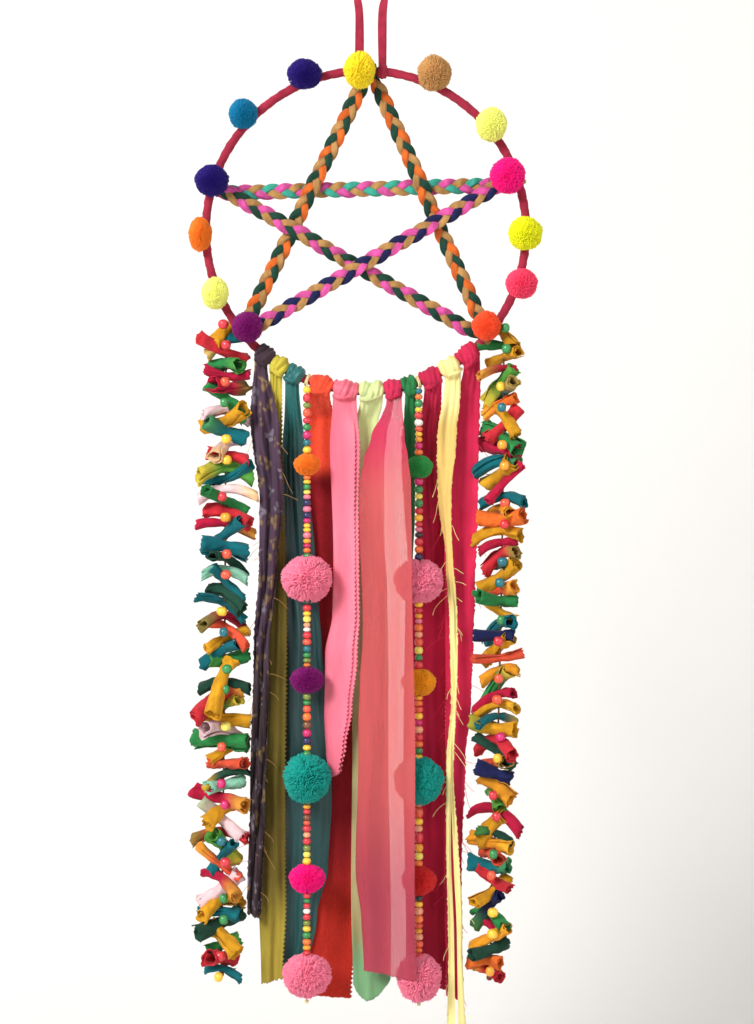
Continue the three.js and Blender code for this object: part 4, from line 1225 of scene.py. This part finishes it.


# Hung strips. Knot gives its reach along the hoop from the lowest point, edges the left and right edge from
# the hoop's middle at depths below it, dye its colours at depths, with painted shade among them on two
# strips, and across how it lies: shares and depths
STRIP_USUAL = dict(
    slant=0.0, depth=0.8, spread=HEAD_SPREAD, sway=1, round=0, left="plain", right="plain",
    across=[(0.0, 0.0), (1.0, 0.0)], twist=[(0, 0), (1, 0)],
)
STRIPS = [
    dict(name="purple_floral", knot=(-74.0, -62.6), end=428, columns=52, layer=-1.5, slant=0.1, folds=1.8,
         depth=2.4, wind=110,
         edges=[(105, -72, -56), (122, -71.5, -54), (168, -66, -52.2), (206, -66.5, -55), (262, -70.5, -60),
                (355, -72, -63), (428, -74, -65)],
         dye=[(70, "wine"), (110, "plum"), (240, "plum"), (300, "wine")],
         left="frayed", right="frayed", foot=0.5, loose="tan"),
    dict(name="olive", knot=(-62.3, -51.7), end=470, columns=32, layer=5.5, folds=1.2,
         depth=0.9, wind=400,
         edges=[(105, -61, -53), (130, -60.5, -52.6), (150, -60, -51.6), (206, -61, -50.5), (230, -61.5, -50),
                (293, -64.5, -50), (355, -66, -50), (418, -67.5, -50.6), (470, -66, -52.5)],
         dye=[(80, "citron"), (100, "citron"), (140, "moss"), (400, "moss"), (450, "old_gold")],
         right="pinked", foot=-0.25),
    dict(name="teal", knot=(-51.5, -40.5), end=462, columns=52, layer=11.5, folds=1.7,
         depth=1.0, wind=300,
         edges=[(112, -51, -40), (145, -53, -38.5), (206, -53, -32.5), (230, -53, -29.8), (262, -53, -27.2),
                (293, -53, -24.4), (330, -53, -22), (355, -53, -22), (400, -53, -24), (430, -53, -30.6),
                (484, -53, -43)],
         dye=[(88, "lagoon"), (112, "lagoon"), (155, "deep_teal"), (290, "deep_teal"), (460, "tide")],
         foot=0.1),
    dict(name="orange_red", knot=(-35.6, -21.0), end=482, columns=44, layer=16.2, folds=0.9,
         wind=300, spread=18,
         edges=[(108, -36, -20), (145, -39.5, -20), (206, -38, -19.5), (230, -34.5, -18.5), (262, -30, -14),
                (293, -27, -9), (330, -24.5, -7), (355, -24.5, -7), (400, -26.5, -6.6), (430, -33, -6.6),
                (484, -44.5, -9.5)],
         # The dark red stretch in the middle is the red felt in painted shade; the orange top and red foot are its
         # own colours
         dye=[(90, "flame"), (143, "flame"), (158, "oxblood"), (380, "oxblood"), (440, "scarlet")],
         right="pinked", foot=0.06),
    dict(name="pink_satin", knot=(-20.7, -4.7), end=340, columns=60, layer=0.4, slant=0.5, folds=1.1,
         wind=260,
         edges=[(112, -21.5, -4), (168, -21.4, -4.6), (206, -21.2, -3.8), (240, -21.4, -3.6),
                (265, -25.8, -5.4), (300, -26, -9.2), (324, -24.5, -13), (340, -22, -16)],
         dye=[(95, "rose"), (140, "shell"), (190, "candy"), (340, "shell")],
         across=[(0.86, -0.2), (0.5, -0.5), (0.06, -0.1), (0.0, 0.6), (0.06, 1.4), (0.5, 1.6), (1.0, 1.2)],
         left="pinked", right="pinked", foot=-0.5),
    dict(name="light_green", knot=(-4.4, 11.2), end=482, columns=40, layer=7.0, folds=1.2,
         depth=1.0, wind=250, spread=16,
         edges=[(108, -6.5, 8.5), (125, -8, 7), (150, -9.4, 9), (230, -9.5, 13), (293, -9.4, 14),
                (330, -9, 14.5), (400, -9, 15), (484, -8, 15.5)],
         # The brownish stretch low down is the pale green cloth in painted shade; the other stops are its own
         # colours
         dye=[(95, "lime_milk"), (125, "lime_milk"), (160, "sage_milk"), (250, "sage_milk"), (310, "khaki"),
              (430, "khaki"), (466, "fern")],
         foot=-0.15, round=11),
    dict(name="sheer_coral", knot=(11.4, 22.6), end=462, columns=72, layer=-14.6, slant=0.66, folds=2.0,
         wind=240, spread=22,
         edges=[(103, 12.5, 22.5), (115, 8, 22.8), (130, 3.4, 23.4), (143, -0.6, 25.5), (158, -2.4, 27.4),
                (206, -2.6, 28.6), (250, -2.8, 29.2), (285, -4.6, 29.6), (310, -5.6, 29.8), (400, -5.2, 30.3),
                (430, -2.4, 30.6), (462, -1.4, 31)],
         dye=[(95, "fuchsia"), (125, "fuchsia"), (170, "coral_veil"), (330, "coral_veil"),
              (420, "dusk_veil")],
         across=[(0.46, 1.9), (0.1, 1.9), (0.0, 1.0), (0.1, 0.1), (0.5, -0.2), (1.0, 0.0)],
         foot=0.05),
    dict(name="emerald", knot=(22.8, 31.6), end=206, columns=24, layer=6.0, folds=1.0,
         wind=160,
         edges=[(112, 22.6, 31), (145, 22.8, 30.8), (175, 24.5, 30.5), (206, 26.5, 29.5)],
         dye=[(95, "emerald"), (120, "emerald"), (180, "pine")],
         left="frayed", foot=0.8),
    dict(name="crimson", knot=(34.9, 48.2), end=473, columns=48, layer=13.5, folds=1.9,
         depth=1.2, wind=350,
         edges=[(112, 33.4, 47.5), (145, 32, 48), (195, 32, 50), (230, 24.5, 50.8), (355, 24, 50.8),
                (474, 25, 51)],
         dye=[(90, "ruby"), (105, "ruby"), (130, "garnet"), (230, "berry"), (360, "berry"), (440, "garnet")],
         right="pinked", foot=0.35),
    dict(name="cream_yellow", knot=(48.4, 61.4), end=508, columns=32, layer=-3.0, folds=0.9,
         wind=140, slit=340, sway=2,
         edges=[(100, 46, 59), (130, 44.8, 57), (168, 45.5, 54.5), (206, 49, 54.6), (243, 51.4, 56),
                (293, 52.4, 56.8), (330, 50.8, 55.4), (380, 51.2, 57), (440, 51.6, 58.4), (508, 50.5, 62)],
         dye=[(80, "butter"), (105, "butter"), (125, "straw"), (200, "straw"), (250, "butter")],
         twist=[(85, 0), (115, 0.35), (160, -0.3), (200, -0.8), (240, -0.1), (300, -0.6), (340, 0.2)],
         left="frayed", right="frayed", foot=0.4),
    dict(name="raspberry", knot=(61.8, 76.0), end=481, columns=44, layer=6.6, folds=1.0,
         wind=300, spread=24,
         edges=[(90, 57.5, 72.5), (112, 54, 71), (140, 51, 70.4), (168, 49.6, 70), (230, 49.5, 68.8),
                (262, 49.5, 67.5), (293, 49.5, 66), (330, 49.5, 62), (387, 49.5, 60.4), (481, 50, 60.2)],
         dye=[(75, "ruby"), (95, "ruby"), (120, "berry"), (165, "raspberry"), (290, "raspberry"),
              (380, "berry")],
         right="frayed", foot=0.4),
]
STRIP_CLOTH = {
    "purple_floral": floral_material("purple_floral", (0.3, 0.19, 0.08), (0.27, 0.23, 0.29)),
    "olive": cloth_material("olive_cotton", uneven=(0.72, 1.08)),
    "teal": satin_material("teal_silk"),
    "orange_red": felt_material("orange_red_felt"),
    "pink_satin": satin_material("pink_satin"),
    "light_green": cloth_material("light_green_cotton"),
    "sheer_coral": chiffon_material("coral_chiffon"),
    "emerald": cloth_material("emerald_cotton"),
    "crimson": cloth_material("crimson_strip"),
    "cream_yellow": cloth_material("cream_cotton", uneven=(0.9, 1.04)),
    "raspberry": cloth_material("raspberry_cotton"),
}
KNOT_CLOTH = {
    "purple_floral": cloth_material("purple_floral_gathered"),
    "sheer_coral": cloth_material("gathered_chiffon"),
}


def dye_and_painted_shade(spec, depth):
    """The strip's colour at each depth below the hoop's middle: its dye, and on two strips painted shade."""
    stops = [(at, linear(name)) for at, name in spec["dye"]]
    return np.stack([eased([(at, colour[k]) for at, colour in stops], depth) for k in range(3)], -1)


def lie_across(spec):
    """How a strip lies from its first edge to its last: shares of its width, and depths behind the front."""
    line = rounded([(share * ACROSS_SCALE, back, 0) for share, back in spec["across"]], 0.2)
    run = run_along(line)
    even = np.linspace(0, run[-1], spec["columns"])
    return np.interp(even, run, line[:, 0]) / ACROSS_SCALE, np.interp(even, run, line[:, 1])


def hung_edges(spec, rng, share, rows):
    """Offsets of the first and last point of each row: cut with pinking shears, or frayed."""
    edge = np.zeros((rows, len(share)))
    down = np.arange(rows) * ROW_STEP
    for column, style, beside in ((0, spec["left"], 1), (-1, spec["right"], -2)):
        way = np.sign(share[column] - share[beside])
        if style == "pinked":
            edge[:, column] = way * PINK_DEPTH * (np.abs((down / PINK_PITCH) % 1 - 0.5) * 4 - 1)
        if style == "frayed":
            edge[:, column] = way * rng.uniform(*FRAYED_EDGE, rows)
    return edge


def hang_cloth(spec, rng):
    """Points of a hung strip, row by row from its knot down, and the depth of each row."""
    share, back = lie_across(spec)
    arcs = spec["knot"][0] + 1 + share * (spec["knot"][1] - spec["knot"][0] - 2)
    top = on_hoop(hoop_angle(arcs), HOOP_RADIUS + HEAD_REACH) - HOOP_CENTRE
    high = -top[:, 2].mean()
    rows = int((spec["end"] - high) / ROW_STEP) + 1
    depth = np.linspace(high, spec["end"], rows)[:, None]
    drop = depth - high
    u = np.linspace(0, 1, len(share))[None, :]
    opened = smooth(drop, 0, spec["spread"])
    phase = rng.uniform(0, TURN, 4)
    left, right = (eased([(stop[0], stop[side]) for stop in spec["edges"]], depth) for side in (1, 2))
    left = left + EDGE_SWAY * spec["sway"] * np.sin(depth / 33 + phase[2])
    right = right + EDGE_SWAY * spec["sway"] * np.sin(depth / 29 + phase[3])
    middle = (left + right) / 2
    place = (share[None] - 0.5) * (right - left)
    sway = 1.0 * np.sin(depth / 41 + phase[0]) + 0.5 * np.sin(depth / 17 + phase[1])
    place = place + sway * np.sin(math.pi * u) * smooth(right - left, 8, 24)
    if "slit" in spec:
        opening = smooth(depth, spec["slit"], spec["slit"] + SLIT_OPENING)
        place = place + np.sign(u - 0.5) * SLIT_GAP * opening
    edge = hung_edges(spec, rng, share, rows)
    wander = 0.14 * np.sin(drop / 47 + phase[0]) + 0.09 * np.sin(drop / 19 + phase[1]) + drop / spec["wind"]
    fold = np.sin(TURN * (spec["folds"] * u + wander))
    fold = fold + 0.4 * np.sin(TURN * (2.3 * spec["folds"] * u - wander) + phase[2])
    pleat = np.sin(TURN * (2.7 * u + 0.25 * np.sin(5 * u + phase[0])) + phase[3])
    pleat = np.exp(-drop / HEAD_PLEAT_LENGTH) * pleat
    bulge = spec["depth"] * opened * fold + 0.6 * pleat + 0.6 * opened * ripple(rng, u, drop)
    bulge = bulge - back[None] * smooth(drop, 4, 30)
    twist = eased(spec["twist"], depth)
    across = fan(twist, RIGHT, -FRONT)
    normal = fan(twist, FRONT, RIGHT)
    hung = HOOP_CENTRE + middle[..., None] * RIGHT - depth[..., None] * UP
    hung = hung + (place + edge)[..., None] * across + bulge[..., None] * normal
    knotted = HOOP_CENTRE + top[None] - drop[..., None] * UP + bulge[..., None] * FRONT
    points = knotted * (1 - opened[..., None]) + hung * opened[..., None]
    forward = HEAD_FRONT * (1 - opened) - spec["layer"] * opened + spec["slant"] * place * opened
    foot = spec["foot"] * place - spec["round"] * (2 * u - 1) ** 2
    foot = foot * smooth(depth, spec["end"] - FOOT_LENGTH, spec["end"])
    ragged = rng.uniform(-FOOT_RAGGED, FOOT_RAGGED, len(share)) * smooth(depth, spec["end"] - 3, spec["end"])
    return points + forward[..., None] * FRONT - (foot + ragged)[..., None] * UP, depth[:, 0]


def add_knot(shape, rng, knot, tint):
    """A gathered knot: creased cloth passed round the hoop, with a band of cloth across its foot."""
    share = np.linspace(-1, 1, KNOT_SIDES)[None]
    turn = np.linspace(0, TURN, KNOT_STEPS + 1)[:, None]
    middle_arc, half = (knot[0] + knot[1]) / 2, (knot[1] - knot[0]) / 2 + KNOT_FULL
    drawn_in = 1 - 0.2 * smooth(np.sin(turn), -0.2, 0.9) + 0.05 * np.sin(3 * turn + rng.uniform(0, TURN))
    arcs = middle_arc + share * half * np.minimum(drawn_in, 1)
    middle = on_hoop(hoop_angle(arcs))
    outward = unit(middle - HOOP_CENTRE)
    crown = np.clip(1 - share ** 4, 0, 1) ** 0.5
    folds = 0
    for lap in (1, -1, 2):
        lean = rng.uniform(0.45, 0.9) * rng.choice([-1, 1])
        ridge = np.abs(np.sin((lean * arcs + lap * turn + rng.uniform(0, TURN)) / 2)) ** 0.55
        folds = folds + rng.uniform(1.0, 1.7) * (ridge - 0.6)
    folds = folds + 0.3 * np.sin(1.9 * arcs + 3 * turn + rng.uniform(0, TURN))
    lower = 0.8 * np.cos(turn) + 0.5 * np.sin(turn)
    high = WRAP_RADIUS - KNOT_SUNK + crown * np.maximum(KNOT_RISE + folds + lower, KNOT_LOWEST)
    spoke = fan(turn, FRONT, outward)
    flat = flat_place(arcs, turn * 6)
    shape.add(middle + high[..., None] * spoke, grid_faces(KNOT_STEPS + 1, KNOT_SIDES), flat, tint)
    tilt = rng.uniform(0.8, 2.0) * rng.choice([-1, 1])
    run = np.linspace(-1, 1, KNOT_BAND_STEPS)[:, None]
    base = on_hoop(hoop_angle(middle_arc + run[:, 0] * half * 0.8))
    down = unit(base - HOOP_CENTRE)
    arch = base + down * (4.4 + tilt * run - 0.8 * run ** 2) + FRONT * (4.9 - 3.0 * run ** 4)
    side, out = frames_along(arch, down)
    section = oval(*KNOT_BAND, KNOT_BAND_SIDES)[None] * (1 - 0.45 * run ** 4)[:, :, None]
    ridges = 1 + 0.12 * np.sin(np.arange(KNOT_BAND_SIDES) * 2.1 + run * 5 + tilt)
    section = section * ridges[:, :, None]
    add_tube(shape, arch, side, out, section, tint)


def add_fray(shape, rng, points, tint):
    """Loose threads that stand out of both edges of a frayed strip."""
    rows = points.shape[0]
    for column, way in ((0, -1), (-1, 1)):
        for row in rng.integers(rows // 8, rows - 4, FRAYED_THREADS):
            long = rng.uniform(*FRAY_LENGTH)
            aside = way * rng.uniform(0.2, 1)
            back = rng.uniform(-0.5, 0.2)
            rise = rng.uniform(-1.2, 0.1)
            lean = unit(np.array([aside, back, rise]))
            run = np.linspace(0, 1, 9)[:, None]
            curl = 0.25 * long * rng.uniform(-1, 1)
            fall = UP * 0.35 * long * run ** 2
            bend = RIGHT * curl * np.sin(3 * run) * run
            path = points[row, column] + run * long * lean - fall + bend
            side, out = frames_along(path, FRONT)
            add_tube(shape, path, side, out, oval(FRAY_THICK, FRAY_THICK, 5), tint)


def make_strip(order, spec):
    name = spec["name"]
    body, node_name = f"cloth_{name}", f"strip_{name}"
    rng = np.random.default_rng(STRIP_SEED + order)
    points, depth = hang_cloth(spec, rng)
    rows, columns = points.shape[:2]
    spans = np.linalg.norm(np.diff(points, axis=1), axis=2)
    faces = grid_faces(rows, columns).reshape(rows - 1, columns - 1, 4)
    kept = np.ones(faces.shape[:2], bool)
    if "slit" in spec:
        spans[depth > spec["slit"], columns // 2 - 1] = 0
        kept[depth[:-1] > spec["slit"], columns // 2 - 1] = False
    place = np.concatenate([np.zeros((rows, 1)), np.cumsum(spans, axis=1)], axis=1)
    flat = flat_place(place - place[:, -1:] / 2, (depth - depth[0])[:, None])
    tint = np.repeat(dye_and_painted_shade(spec, depth), columns, axis=0)
    shape = Shape().add(points, faces[kept], flat, tint)
    tail = make_piece(f"{node_name}_cloth", shape, STRIP_CLOTH[name], body, [node_name])
    thicken(tail, SHEER_THICK if name == "sheer_coral" else CLOTH_THICK)
    knot = Shape()
    add_knot(knot, rng, spec["knot"], dye_and_painted_shade(spec, depth[:1])[0])
    knot_cloth = KNOT_CLOTH.get(name, STRIP_CLOTH[name])
    pieces = [make_piece(f"{node_name}_knotted", knot, knot_cloth, body, [f"knot_{name}"])]
    if spec["right"] == "frayed":
        loose = Shape()
        if "loose" in spec:
            worn = linear(spec["loose"])
        else:
            worn = FRAY_PALER * dye_and_painted_shade(spec, np.array([FRAY_COLOUR_DEPTH]))[0]
        add_fray(loose, rng, points, worn)
        pieces.append(make_piece(f"{node_name}_loose_threads", loose, loose_thread, body))


for order, spec in enumerate(STRIPS):
    make_strip(order, {**STRIP_USUAL, **spec})

bpy.context.scene.view_settings.view_transform = "Standard"
